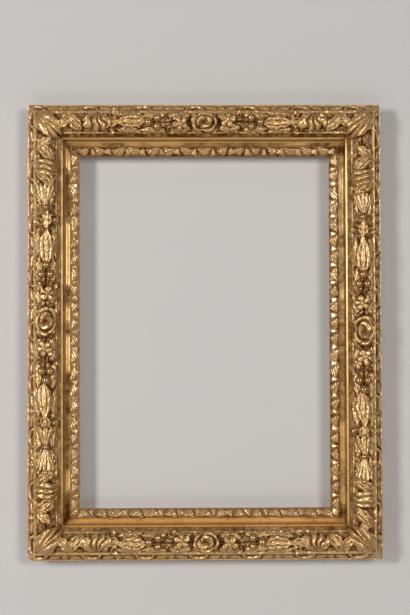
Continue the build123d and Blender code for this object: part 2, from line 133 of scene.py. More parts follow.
def oak(name, stretch, dustiness):
    """Oak whose grain runs along the axis with the smallest stretch."""
    wood = Finish(name)
    along = wood.place(stretch)
    figure = wood.span(wood.noise(along, FIGURE_SCALE, 4.0), 0.35, 0.68)
    streaks = wood.span(wood.noise(along, STREAK_SCALE, 3.0, 0.6), 0.42, 0.62)
    pores = wood.span(wood.noise(along, PORE_SCALE, 2.0, 0.5), 0.54, 0.66)
    grime = wood.span(wood.noise(wood.place(), GRIME_SCALE, 4.0), 0.45, 0.75, 0.0, dustiness)
    colour = wood.blend(figure, OAK_PALE, OAK_DARK)
    colour = wood.blend(wood.times(streaks, STREAK_SHARE), colour, OAK_DARK)
    colour = wood.blend(wood.times(pores, PORE_SHARE), colour, OAK_PORE)
    return wood.wear(
        Base_Color=wood.blend(grime, colour, OAK_DUST),
        Roughness=wood.span(figure, 0.0, 1.0, OAK_SMOOTHEST, OAK_ROUGHEST),
        Normal=wood.bump(wood.sum(streaks, pores, "SUBTRACT"), GRAIN_STRENGTH, GRAIN_DEPTH),
    )


oak_rail = oak("oak_rail", (GRAIN_STRETCH, 1, 1), DUSTINESS)
oak_stile = oak("oak_stile", (1, 1, GRAIN_STRETCH), DUSTINESS)
oak_peg = oak("oak_peg", (1, GRAIN_STRETCH, 1), 0.0)


def paint_node(name, material):
    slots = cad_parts[name].data.materials
    slots.clear()
    slots.append(material)


for node_name, material in (
    ("back_top_rail", oak_rail),
    ("back_bottom_rail", oak_rail),
    ("back_left_stile", oak_stile),
    ("back_right_stile", oak_stile),
    ("corner_pegs", oak_peg),
):
    paint_node(node_name, material)


# Carved mouldings: the wide outer ring of the frame, mitred at the corners and glued to the oak.
# Limewood cut with loops of ribbon on the outer band, a garland on the torus and a punched ground, then
# covered with gesso, red bole and gold leaf, worn on the high places, and dark in the deep ones with dirt
# and painted shade.
MM = 0.001
FRONT = np.array((0.0, -1.0, 0.0))


class Side:
    """One side of the frame: the middle of its outer edge on the oak, and its ways along and inwards."""

    def __init__(self, name, along, inward):
        low, high = (np.array(corner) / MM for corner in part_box("carved_" + name))
        self.name = name
        self.along = np.array(along, float)
        self.inward = np.array(inward, float)
        outer = np.where(self.inward > 0, low, high)
        self.edge = np.where(self.inward != 0, outer, (low + high) / 2)
        self.edge[1] = high[1]
        self.half = abs((high - low) @ self.along) / 2
        self.turned = np.cross(self.along, self.inward) @ FRONT < 0

    def at(self, along, inward, height):
        """Points in millimetres from the place along the side, the way in, and the height over the oak."""
        return (
            self.edge
            + np.asarray(along)[..., None] * self.along
            + np.asarray(inward)[..., None] * self.inward
            + np.asarray(height)[..., None] * FRONT
        )


SIDES = (
    Side("top", (1, 0, 0), (0, 0, -1)),
    Side("bottom", (1, 0, 0), (0, 0, 1)),
    Side("left", (0, 0, -1), (1, 0, 0)),
    Side("right", (0, 0, -1), (-1, 0, 0)),
)


def new_piece(name, points, faces, material, crease=60.0, edges=()):
    """A piece of the frame from points in millimetres."""
    mesh = bpy.data.meshes.new(name)
    mesh.from_pydata((np.asarray(points).reshape(-1, 3) * MM).tolist(), edges, faces)
    mesh.polygons.foreach_set("use_smooth", [True] * len(mesh.polygons))
    mesh.set_sharp_from_angle(angle=radians(crease))
    mesh.materials.append(material)
    piece = bpy.data.objects.new(name, mesh)
    bpy.context.scene.collection.objects.link(piece)
    return piece


def ring_faces(rings, count, turned):
    """Faces of a closed tube of rings of points, with an end face on its first and its last ring."""
    i, j = np.meshgrid(np.arange(rings - 1), np.arange(count), indexing="ij")
    here, there = i * count + j, (i + 1) * count + j
    after = (j + 1) % count - j
    quads = np.stack([here, there, there + after, here + after], axis=-1).reshape(-1, 4)
    last = (rings - 1) * count
    ends = [list(range(count)), [last + k for k in reversed(range(count))]]
    faces = quads.tolist() + ends
    return [face[::-1] for face in faces] if turned else faces


def rise(x, low, high):
    """From 0 to 1 as x goes from low to high, level at both ends."""
    t = np.clip((x - low) / (high - low), 0, 1)
    return t * t * (3 - 2 * t)


BAND_WIDTH = 8.5
BAND_FOOT = 5.0
OUTER_FILLET = 1.6
FILLET_HEIGHT = 15.0
TORUS_WIDTH = 27.9
TORUS_HEIGHT = 24.0
GROUND_WIDTH = 4.5
GROUND_HEIGHT = 13.0
TORUS_START = BAND_WIDTH + OUTER_FILLET
TORUS_END = TORUS_START + TORUS_WIDTH
CARVED_WIDTH = TORUS_END + GROUND_WIDTH
STEP_ACROSS = 0.58
STEP_ALONG = 0.74


def circle_through(a, b, c):
    """Centre and radius of the circle through three points."""
    d = 2 * (a[0] * (b[1] - c[1]) + b[0] * (c[1] - a[1]) + c[0] * (a[1] - b[1]))
    squares = [p[0] ** 2 + p[1] ** 2 for p in (a, b, c)]
    x = (squares[0] * (b[1] - c[1]) + squares[1] * (c[1] - a[1]) + squares[2] * (a[1] - b[1])) / d
    y = (squares[0] * (c[0] - b[0]) + squares[1] * (a[0] - c[0]) + squares[2] * (b[0] - a[0])) / d
    return x, y, hypot(a[0] - x, a[1] - y)


def straight(start, end, step, closed=False):
    """Points along a line of a section, with the line's outward normal."""
    length = hypot(end[0] - start[0], end[1] - start[1])
    t = np.linspace(0, 1, max(2, round(length / step) + 1), endpoint=closed)
    points = np.outer(1 - t, start) + np.outer(t, end)
    normal = np.array((start[1] - end[1], end[0] - start[0])) / length
    return points, np.tile(normal, (len(t), 1))


def bow(start, through, end, step):
    """Points along an arc of a section, short of its end, with normals that look away from its centre."""
    x, y, radius = circle_through(start, through, end)
    first, middle, last = (atan2(p[1] - y, p[0] - x) for p in (start, through, end))
    way = 1 if (middle - first) % (2 * pi) < (last - first) % (2 * pi) else -1
    sweep = (way * (last - first)) % (2 * pi)
    count = max(4, round(radius * sweep / step) + 1)
    angle = first + way * np.linspace(0, sweep, count, endpoint=False)
    normals = np.stack([np.cos(angle), np.sin(angle)], axis=1)
    return np.array((x, y)) + radius * normals, normals


band_outer = (0.0, BAND_FOOT)
band_inner = (BAND_WIDTH, FILLET_HEIGHT)
torus_outer = (TORUS_START, FILLET_HEIGHT)
torus_crest = ((TORUS_START + TORUS_END) / 2, TORUS_HEIGHT)
torus_inner = (TORUS_END, GROUND_HEIGHT)
ground_end = (CARVED_WIDTH, GROUND_HEIGHT)
runs = (
    straight((0.0, 0.0), band_outer, BAND_FOOT / 3),
    straight(band_outer, band_inner, STEP_ACROSS),
    straight(band_inner, torus_outer, STEP_ACROSS),
    bow(torus_outer, torus_crest, torus_inner, STEP_ACROSS),
    straight(torus_inner, ground_end, STEP_ACROSS, closed=True),
)
section = np.concatenate([points for points, normals in runs])
section_normal = np.concatenate([normals for points, normals in runs])
run_ends = np.cumsum([len(points) for points, normals in runs])
BAND, FILLET, TORUS, GROUND = (slice(run_ends[i], run_ends[i + 1]) for i in range(4))
section_steps = np.hypot(*np.diff(section[TORUS], axis=0).T)
across_torus = np.concatenate([[0.0], np.cumsum(section_steps)])
TORUS_GIRTH = across_torus[-1]
across_torus -= TORUS_GIRTH / 2


HASH_TURNS = (127.1, 311.7, 74.7)
HASH_SIZE = 43758.5453


def grain(x, y, cell, seed):
    """Smooth random values from 0 to 1 on a lattice of that cell."""
    def value(i, j):
        v = np.sin(i * HASH_TURNS[0] + j * HASH_TURNS[1] + seed * HASH_TURNS[2]) * HASH_SIZE
        return v - np.floor(v)

    i, j = np.floor(x / cell), np.floor(y / cell)
    u, v = rise(x / cell - i, 0, 1), rise(y / cell - j, 0, 1)
    lower = value(i, j) * (1 - u) + value(i + 1, j) * u
    upper = value(i, j + 1) * (1 - u) + value(i + 1, j + 1) * u
    return lower * (1 - v) + upper * v


def punches(x, y, pitch, seed, scatter=0.3, floor=0.12, rim=0.46):
    """Round punch marks, one in each cell, 1 in their middles."""
    i, j = np.floor(x / pitch), np.floor(y / pitch)
    across = x / pitch - i - 0.5 - scatter * (grain(i * pitch, j * pitch, pitch, seed) - 0.5)
    down = y / pitch - j - 0.5 - scatter * (grain(i * pitch, j * pitch, pitch, seed + 1) - 0.5)
    return 1 - rise(np.hypot(across, down), floor, rim)


FLOOR = -5.4
EDGE = 0.9
JITTER_SEED = 11
WOBBLE = 1.1
WOBBLE_CELL = 9.0
WOBBLE_SEEDS = (20, 40)
HAND_STRAYS = (0.8, 0.5, 4.0)
FORM_REACH = 58.0


class Relief:
    """The heights of one side's carving over its torus, in millimetres."""

    def __init__(self, along, across, seed):
        across = np.broadcast_to(across, along.shape)
        wobble = [2 * WOBBLE * (grain(along, across, WOBBLE_CELL, seed + i) - 0.5) for i in WOBBLE_SEEDS]
        self.along = along + wobble[0]
        self.across = across + wobble[1]
        self.height = np.full(along.shape, FLOOR)
        self.middle = along[:, along.shape[1] // 2]
        self.hand = np.random.RandomState(seed)

    def cut(self, form, along, across=0.0, turn=0.0):
        """Leaves one form standing, turned from the way along towards the way in, by degrees."""
        slip, drift, lean = self.hand.uniform(-1, 1, 3) * HAND_STRAYS
        near = np.abs(self.middle - along) < FORM_REACH
        x0, y0 = self.along[near] - along - slip, self.across[near] - across - drift
        c, s = cos(radians(turn + lean)), sin(radians(turn + lean))
        top, inside = form(x0 * c + y0 * s, y0 * c - x0 * s)
        self.height[near] = np.maximum(self.height[near], stand(top, inside))


def stand(top, inside):
    """A form's height over the floor of the carving, with a short steep edge just inside its outline."""
    return FLOOR + (top - FLOOR) * rise(inside, 0, EDGE)


def shaped(form):
    """Turns a form at points x and y into a maker of that form, which takes its sizes by name."""
    def sized(**sizes):
        return lambda x, y: form(x, y, **sizes)

    return sized


@shaped
def leaf(x, y, length, width, top, lobes, fullness=0.8, cut=1.1, cup=2.8, vein=2.0, vein_pitch=13.0):
    """A leaf from its stalk to its tip along x: two swelling halves beside a midrib, cut into lobes."""
    t = np.clip(x / length, 0, 1)
    plain = width / 2 * np.sin(pi * t**fullness) ** 0.7
    half = plain * (0.8 + 0.2 * np.abs(np.sin(pi * lobes * (t - 0.18))))
    u = np.clip(np.abs(y) / np.maximum(half, 0.4), 0, 1)
    fold = np.clip(np.abs(y) / np.maximum(plain, 0.4), 0, 1)
    height = top * (0.3 + 0.7 * np.sin(pi * (0.1 + 0.75 * t)))
    height = height - cup * (1 - np.sin(pi * (0.14 + 0.8 * u)))
    ridge = np.abs(np.sin(pi * lobes * (t - 0.18 * u)))
    height = height - cut * (1 - ridge) ** 1.5 * rise(u, 0.05, 0.5)
    streak = (1 - np.abs(np.sin(pi * (0.5 + width / vein_pitch * fold)))) ** 1.4
    height = height - vein * streak * rise(t, 0.05, 0.3)
    return height, np.where((x > 0) & (x < length), half - np.abs(y), -1.0)


@shaped
def rose(x, y, length, width, top, petals=5, bud_petals=3, bud_share=0.62, step=4.6, hole=6.5):
    """An oval rose: outer petals round a bud, whose own petals are wound about a hollow heart."""
    r = np.hypot(2 * x / length, 2 * y / width)
    angle = np.arctan2(y / width, x / length)
    bud = r / bud_share
    wound = (bud_petals / 2 * angle / pi + 1.2 * bud) % 1.0
    petal = np.abs(np.cos(petals / 2 * angle + 0.5))
    heart = top * (1.1 - 0.6 * bud**2) + step * (wound - 0.6) * rise(bud, 0.15, 0.4)
    heart = heart - hole * np.exp(-((bud / 0.27) ** 2))
    outer = 0.35 * top + 2.4 * petal**0.6 * (1 - ((r - 0.82) / 0.22) ** 2)
    ditch = (3.0 + 1.6 * np.cos(angle - 0.9)) * np.exp(-(((r - 0.63) / 0.06) ** 2))
    return np.where(r < 0.63, heart, outer) - ditch, (0.9 + 0.1 * petal - r) * width / 2


@shaped
def flower(x, y, radius, petals, top, start, split=2.4, vein=0.6, eye=0.3):
    """A small open flower with round petals and an eye."""
    r, angle = np.hypot(x, y), np.arctan2(y, x)
    petal = np.abs(np.cos(petals * angle / 2 + start))
    edge = radius * (0.62 + 0.38 * petal**0.7)
    dome = top * (0.1 + 0.9 * np.sqrt(np.clip(1 - ((r / radius - 0.6) / 0.52) ** 2, 0, 1)))
    groove = -split * (1 - petal) ** 2 * rise(r / radius, 0.2, 0.4)
    groove = groove - vein * np.abs(np.sin(2.5 * petals * angle)) * rise(r / radius, 0.35, 0.7)
    button = 1.25 * top * np.sqrt(np.clip(1 - (r / (eye * radius)) ** 2, 0, 1))
    return np.maximum(dome + groove, button), edge - r


@shaped
def fan(x, y, radius, spread, flutes, top, depth=3.0):
    """Flutes that open from their foot along x, like a shell."""
    r, angle = np.hypot(x, y), np.arctan2(y, x)
    half = radians(spread) / 2
    bent = angle + 0.16 * np.sin(2.3 * angle + 0.9) + 0.1 * np.sin(0.35 * r)
    flute = np.abs(np.sin(pi * flutes * (bent / half + 1) / 2))
    inside = np.minimum(radius * (0.82 + 0.18 * flute) - r, (half - np.abs(angle)) * r)
    swell = 0.15 + 0.85 * np.sin(pi * np.clip(0.75 * r / radius, 0, 1))
    return top * swell - depth * (1 - flute) ** 1.5, inside


@shaped
def bell(x, y, length, width, top, flutes=3, depth=2.0):
    """A husk that widens from its stalk to a lobed mouth along x."""
    t = np.clip(x / length, 0, 1)
    half = width / 2 * (0.3 + 0.7 * rise(t, 0.0, 0.9))
    u = np.clip(np.abs(y) / half, 0, 1)
    lobe = np.abs(np.cos(pi * flutes * y / (2 * half)))
    mouth = length * (0.84 + 0.16 * lobe) - x
    height = top * (0.4 + 0.6 * t) - depth * u**2 - depth * (1 - lobe) ** 2 * (0.3 + 0.7 * t)
    return height, np.minimum(np.minimum(half - np.abs(y), mouth), x)


@shaped
def curl(x, y, radius, top, way, turns=1.4):
    """A leaf's curled tip, wound like a snail."""
    r, angle = np.hypot(x, y), np.arctan2(y, x) * way
    ridge = 0.5 + 0.5 * np.cos(2 * pi * (r / radius * turns - angle / (2 * pi)))
    return top * (ridge * 1.7 - 0.7), radius - r


@shaped
def swag(x, y, length, width, top, folds=3, swell=1.4, groove=2.6):
    """A ribbon wound across the torus along x: folds side by side, each rolled over the next."""
    u, v = 2 * x / length, 2 * y / width
    fold = (folds * (v + 1) / 2 + 0.12 * np.sin(4 * u)) % 1.0
    height = top * (1 - 0.3 * u**2) + swell * np.sin(pi * fold**0.6) - groove * np.exp(-fold / 0.12)
    return height, (1 - np.abs(u) ** 2.5 - np.abs(v) ** 2.5) * width / 4


BERRY_SIZE = 11.6
BERRY_SPREAD = 12.0
BERRY_LEAD = 11.6
BUD_SIZE = 8.0
berry_places = []


class Spot:
    """A place on a side where a motif is cut, with the way from the rose to the corner as the way out."""

    def __init__(self, relief, side, along, away):
        self.relief, self.side, self.along, self.away = relief, side, along, away

    def cut(self, form, out=0.0, across=0.0, turn=0.0):
        """Turn is from the way out towards the opening."""
        turn = turn if self.away > 0 else 180.0 - turn
        self.relief.cut(form, self.along + self.away * out, across, turn)

    def ball(self, size, out=0.0, across=0.0):
        berry_places.append((self.side, self.along + self.away * out, across, size))


def cut_bed(spot):
    for way in (-1, 1):
        spot.cut(leaf(length=27, width=14, top=-2.0, lobes=4), across=2.5 * way, turn=32 * way)
        spot.cut(leaf(length=22, width=12, top=-2.2, lobes=3), across=16 * way, turn=-24 * way)


def cut_flowers(spot):
    for way in (-1, 1):
        spot.cut(leaf(length=26, width=15, top=1.8, lobes=2), out=-12, across=8.5 * way, turn=14 * way)
    spot.cut(flower(radius=11.0, petals=5, top=3.8, start=0.4), across=-2.5 * spot.away)
    spot.cut(flower(radius=7.0, petals=4, top=3.0, start=0.7), out=9, across=9.0 * spot.away)
    spot.cut(curl(radius=6.5, top=2.6, way=spot.away), out=12, across=-10.5 * spot.away)


def cut_berries(spot):
    for way in (-1, 1):
        spot.cut(leaf(length=33, width=14, top=1.4, lobes=3), out=-10, across=12.5 * way, turn=-4 * way)
    for way in (-1, 1):
        spot.ball(BERRY_SIZE, across=way * BERRY_SPREAD / 2)
    spot.ball(BERRY_SIZE, out=BERRY_LEAD)


def cut_husk(spot, length, notch):
    for way in (-1, 1):
        flank = leaf(length=0.95 * length, width=17, top=2.2, lobes=4, fullness=1.35, cut=notch)
        spot.cut(flank, out=length / 2, across=9.0 * way, turn=180 - 10 * way)
    blade = leaf(length=1.1 * length, width=24, top=4.0, lobes=4, fullness=1.25, cut=notch)
    spot.cut(blade, out=0.52 * length, turn=180)


def cut_short_husk(spot):
    cut_husk(spot, length=36, notch=1.8)


def cut_long_husk(spot):
    cut_husk(spot, length=44, notch=0.4)


def cut_curls(spot):
    spot.cut(leaf(length=24, width=15, top=2.4, lobes=3), out=-10)
    for way in (-1, 1):
        spot.cut(curl(radius=7.6, top=2.8, way=way * spot.away), out=2 * way, across=9.0 * way)


def cut_fan(spot):
    spot.cut(fan(radius=28, spread=118, flutes=4, top=4.0), across=-15.5, turn=90)


def cut_flutes(spot):
    for way in (-1, 1):
        spot.cut(leaf(length=26, width=13, top=0.6, lobes=3), out=12, across=11 * way, turn=180 + 8 * way)
    spot.cut(bell(length=28, width=27, top=3.8, flutes=5), out=-13)
    for out in (-15, 17):
        spot.ball(BUD_SIZE, out=out)


def cut_bell(spot):
    for way in (-1, 1):
        spot.cut(leaf(length=26, width=13, top=1.0, lobes=3), out=12, across=9 * way, turn=180 - 10 * way)
    spot.cut(bell(length=26, width=25, top=3.4), out=12, turn=180)
    spot.ball(BUD_SIZE, out=-12)


def cut_bracts(spot):
    spot.cut(leaf(length=30, width=19, top=3.2, lobes=3), out=-8, across=11, turn=-50)
    spot.cut(leaf(length=28, width=17, top=2.4, lobes=3), out=4, across=-13, turn=48)


def cut_swag(spot):
    spot.cut(swag(length=33, width=21, top=2.4), turn=90)


RAIL_HALF = (
    (cut_fan, 138), (cut_bracts, 165), (cut_flowers, 30),
    (cut_berries, 60), (cut_short_husk, 95), (cut_curls, 117),
)
STILE_UPPER = (
    (cut_flutes, 160), (cut_bracts, 180), (cut_flowers, 35), (cut_berries, 60),
    (cut_long_husk, 98), (cut_curls, 128), (cut_swag, 196), (cut_bracts, 214),
)
STILE_LOWER = (
    (cut_flutes, 174), (cut_bracts, 194), (cut_flowers, 34), (cut_berries, 63), (cut_long_husk, 102),
    (cut_curls, 127), (cut_bell, 147), (cut_swag, 214), (cut_bracts, 233),
)
BED_START = 10.0
BED_STEP = 10.5
ROSE_WIDTH = 27.0
RAIL_ROSE_LENGTH = 35.0
STILE_ROSE_LENGTH = 40.0
ROSE_TOP = 4.0
LEFT_ROSE_LIFT = 13.0
CORNER_START = 12.0
CORNER_LENGTH = 49.0
CORNER_HALF_WIDTH = 15.0
CORNER_TOP = 4.0
CORNER_RIB = 0.9
FLUTE_WIDTH = 8.0
BROAD_FLUTE_WIDTH = 13.0
FRAME_MIDDLE = -261.0


def corner_leaf(out, aside, flute_width, lobes=3.2, lean=0.16, fall=2.2, flute_depth=2.4, rib_depth=1.8):
    """The leaf laid along a mitre: how far out from the corner, and how far aside from the mitre."""
    t = np.clip((out - CORNER_START) / CORNER_LENGTH, 0, 1)
    lobe = np.abs(np.sin(pi * (lobes * t + 0.35)))
    half = CORNER_HALF_WIDTH * np.sin(pi * np.clip(0.15 + 0.8 * t, 0, 1)) ** 0.6 * (0.85 + 0.15 * lobe)
    u = np.clip(aside / np.maximum(half, 0.5), 0, 1)
    flute = np.abs(np.sin(pi * (aside - lean * (out - CORNER_START)) / flute_width))
    rib = np.exp(-((aside / CORNER_RIB) ** 2))
    height = CORNER_TOP * np.sin(pi * (0.2 + 0.62 * t)) - fall * u**2
    height = height - flute_depth * (1 - flute) ** 1.2 - rib_depth * rib
    on_leaf = (t > 0) & (t < 1)
    return np.where(on_leaf, height, FLOOR), np.where(on_leaf, half - aside, -1.0)


BAND_SLOPE = hypot(BAND_WIDTH, FILLET_HEIGHT - BAND_FOOT)
BAND_SUNK = -2.3
BAND_EDGE = (1.6, 0.4)
RIBBON_PITCH = 68.0
RIBBON_RISE = 3.2
RIBBON_THIN = 0.17
RIBBON_SWELL = 0.1
SWELL_SPAN = (3.0, 9.0)
DITCH_WIDTH = 0.12
DITCH_DEPTH = 0.8
LOOP_HALF = 11.0
LOOP_TOP = 1.2
LOOP_DROP = 8.6
KNOT_RISE = 2.6
KNOT_LEVEL = 2.2
KNOT_RADIUS = 2.8
SPRIG_RISE = 1.9
SPRIG_PLACE = 13.5
SPRIG_HALF = 8.5
SPRIG_LEVEL = 6.5
SPRIG_HALF_WIDTH = 3.0
SPRIG_LEAN = 0.12
BLOOM_RISE = 3.0
BLOOM_LEVEL = 7.2
BLOOM_RADIUS = 3.0
PETAL_LENGTH = 2.0
ribbon_first = {"top": -12.0, "bottom": -9.0, "left": -1.0, "right": 26.0}


def ribbon(along, down, first):
    """The outer band, down from the fillet: ribbon hung in loops, with a small flower between each two."""
    phase = (along - first + RIBBON_PITCH / 2) % RIBBON_PITCH - RIBBON_PITCH / 2
    loop = np.hypot(phase / LOOP_HALF, (down - LOOP_TOP) / LOOP_DROP) - 1
    thick = RIBBON_THIN + RIBBON_SWELL * rise(down, *SWELL_SPAN)
    cord = np.clip(1 - (loop / thick) ** 2, 0, 1) ** 0.4
    ditch = np.exp(-(((np.abs(loop) - thick - DITCH_WIDTH) / DITCH_WIDTH) ** 2))
    knot = np.hypot(np.abs(phase) - LOOP_HALF, down - KNOT_LEVEL)
    knot = np.sqrt(np.clip(1 - knot / KNOT_RADIUS, 0, 1))
    gap = RIBBON_PITCH / 2 - np.abs(phase)
    sprig = np.clip(1 - ((gap - SPRIG_PLACE) / SPRIG_HALF) ** 2, 0, 1)
    aslant = down - SPRIG_LEVEL - SPRIG_LEAN * gap
    sprig = sprig * np.clip(1 - (aslant / SPRIG_HALF_WIDTH) ** 2, 0, 1)
    petal = np.abs(np.cos(2 * np.arctan2(down - BLOOM_LEVEL, gap)))
    radius = BLOOM_RADIUS + PETAL_LENGTH * petal
    bloom = np.clip(1 - np.hypot(gap, down - BLOOM_LEVEL) / radius, 0, 1) ** 0.5
    forms = [RIBBON_RISE * cord, KNOT_RISE * knot, SPRIG_RISE * sprig**0.5, BLOOM_RISE * bloom]
    edge = rise(down, BAND_SLOPE - BAND_EDGE[0], BAND_SLOPE - BAND_EDGE[1])
    return BAND_SUNK * (1 - edge) + np.maximum.reduce(forms) - DITCH_DEPTH * ditch * (1 - edge)


def soften(field, steps):
    """The field averaged over so many grid steps each way, twice."""
    for axis in (0, 1, 0, 1):
        pad = [(0, 0), (0, 0)]
        pad[axis] = (steps + 1, steps)
        total = np.cumsum(np.pad(field, pad, mode="edge"), axis=axis)
        length = field.shape[axis]
        ahead = np.take(total, range(2 * steps + 1, 2 * steps + 1 + length), axis=axis)
        field = (ahead - np.take(total, range(length), axis=axis)) / (2 * steps + 1)
    return field


GOUGE_MARKS = 0.3
GOUGE_CELL = 3.2
GOUGE_SEED = 3
FINE_MARKS = 0.1
FINE_CELL = 1.4
FINE_SEED = 5
PUNCH_PITCH = 1.9
PUNCH_DEPTH = 0.75
PUNCH_SEED = 9
BAND_AT_MITRE = -0.5
BAND_FADE = (2.0, 9.0)
BAND_EASE = 0.7
TORUS_FADE = (1.0, 6.0)
TORUS_EASE = 1.0
GROUND_FADE = (0.0, 1.5)


def carve(side):
    """The heights of a side's carving over its plain section."""
    count = round(2 * side.half / STEP_ALONG) + 1
    share = np.linspace(-1, 1, count)
    along = share[:, None] * (side.half - section[:, 0])[None, :]
    inward = np.broadcast_to(section[:, 0], along.shape)
    spots = side.at(along, inward, np.zeros_like(along))
    east, north = spots[..., 0], spots[..., 2]
    to_end = side.half - np.abs(along)
    to_mitre = to_end - inward
    is_stile = side.along[0] == 0

    relief = Relief(along[:, TORUS], across_torus[None, :], JITTER_SEED + len(side.name))
    middle = -LEFT_ROSE_LIFT if side.name == "left" else 0.0
    for away in (-1, 1):
        for distance in np.arange(BED_START, side.half - CARVED_WIDTH - away * middle, BED_STEP):
            cut_bed(Spot(relief, side, middle + away * distance, away))
    stile_halves = {-1: STILE_UPPER, 1: STILE_LOWER}
    for away in (-1, 1):
        for motif, distance in stile_halves[away] if is_stile else RAIL_HALF:
            motif(Spot(relief, side, middle + away * distance, away))
    length = STILE_ROSE_LENGTH if is_stile else RAIL_ROSE_LENGTH
    relief.cut(rose(length=length, width=ROSE_WIDTH, top=ROSE_TOP), middle)
    torus = FLOOR + (relief.height - FLOOR) * rise(to_mitre[:, TORUS], *TORUS_FADE)
    out, aside = (to_end + inward) / 2**0.5, to_mitre / 2**0.5
    upper_left = (east < 0) & (north > FRAME_MIDDLE)
    corner = stand(*corner_leaf(out, aside, np.where(upper_left, BROAD_FLUTE_WIDTH, FLUTE_WIDTH)))
    torus = np.maximum(torus, corner[:, TORUS])
    rim = rise(TORUS_GIRTH / 2 - np.abs(across_torus), 0.0, TORUS_EASE)
    chisel = GOUGE_MARKS * (grain(east, north, GOUGE_CELL, GOUGE_SEED) - 0.5)
    chisel = chisel + FINE_MARKS * (grain(east, north, FINE_CELL, FINE_SEED) - 0.5)

    height = np.zeros_like(along)
    height[:, TORUS] = (torus + chisel[:, TORUS]) * rim
    down = np.linspace(BAND_SLOPE, 0, BAND.stop - BAND.start)[None, :]
    band = ribbon(along[:, BAND], down, ribbon_first[side.name])
    band = BAND_AT_MITRE + (band - BAND_AT_MITRE) * rise(to_mitre[:, BAND], *BAND_FADE)
    band = (band + chisel[:, BAND]) * rise(down, 0, BAND_EASE)
    height[:, BAND] = band * rise(BAND_SLOPE - down, 0, BAND_EASE)
    height[:, FILLET] = chisel[:, FILLET]
    pits = punches(east[:, GROUND], north[:, GROUND], PUNCH_PITCH, PUNCH_SEED)
    height[:, GROUND] = -PUNCH_DEPTH * pits * rise(to_mitre[:, GROUND], *GROUND_FADE)
    height[:, GROUND] = np.maximum(height[:, GROUND], corner[:, GROUND])
    return share, height


ROUNDED = {("top", -1): 3.0, ("top", 1): 2.0, ("bottom", -1): 8.0, ("bottom", 1): 3.0}
ROUNDED.update({("left", -1): 3.0, ("left", 1): 8.0, ("right", -1): 2.0, ("right", 1): 3.0})


def knock_off_corners(side, along, inward):
    """Rounds the two outer corners of a side, as knocks have done."""
    for end in (-1, 1):
        radius = ROUNDED[side.name, end]
        u, v = radius - (side.half - end * along), radius - inward
        inside = (u > 0) & (v > 0)
        pull = np.where(inside, np.maximum(u, v) / np.maximum(np.hypot(u, v), 1e-9), 1.0)
        along = np.where(inside, end * (side.half - radius + u * pull), along)
        inward = np.where(inside, radius - v * pull, inward)
    return along, inward


BOLE = shade(150, 78, 46)
PATINA = shade(84, 46, 8)
DUST = shade(140, 108, 80)
BARE_WOOD = shade(150, 122, 88)
PALER_LEAF = shade(232, 214, 186)
BROAD_SCALE = 22.0
MOTTLE_SCALE = 130.0
SPECK_SCALE = 620.0
FLATS_PER_METRE = 320.0
BRIGHTEST_METAL = 0.75
VARNISH_ROUGHNESS = 0.2
GILDING_SPECULAR = 0.1
RELIEF_DEPTH = 0.0003


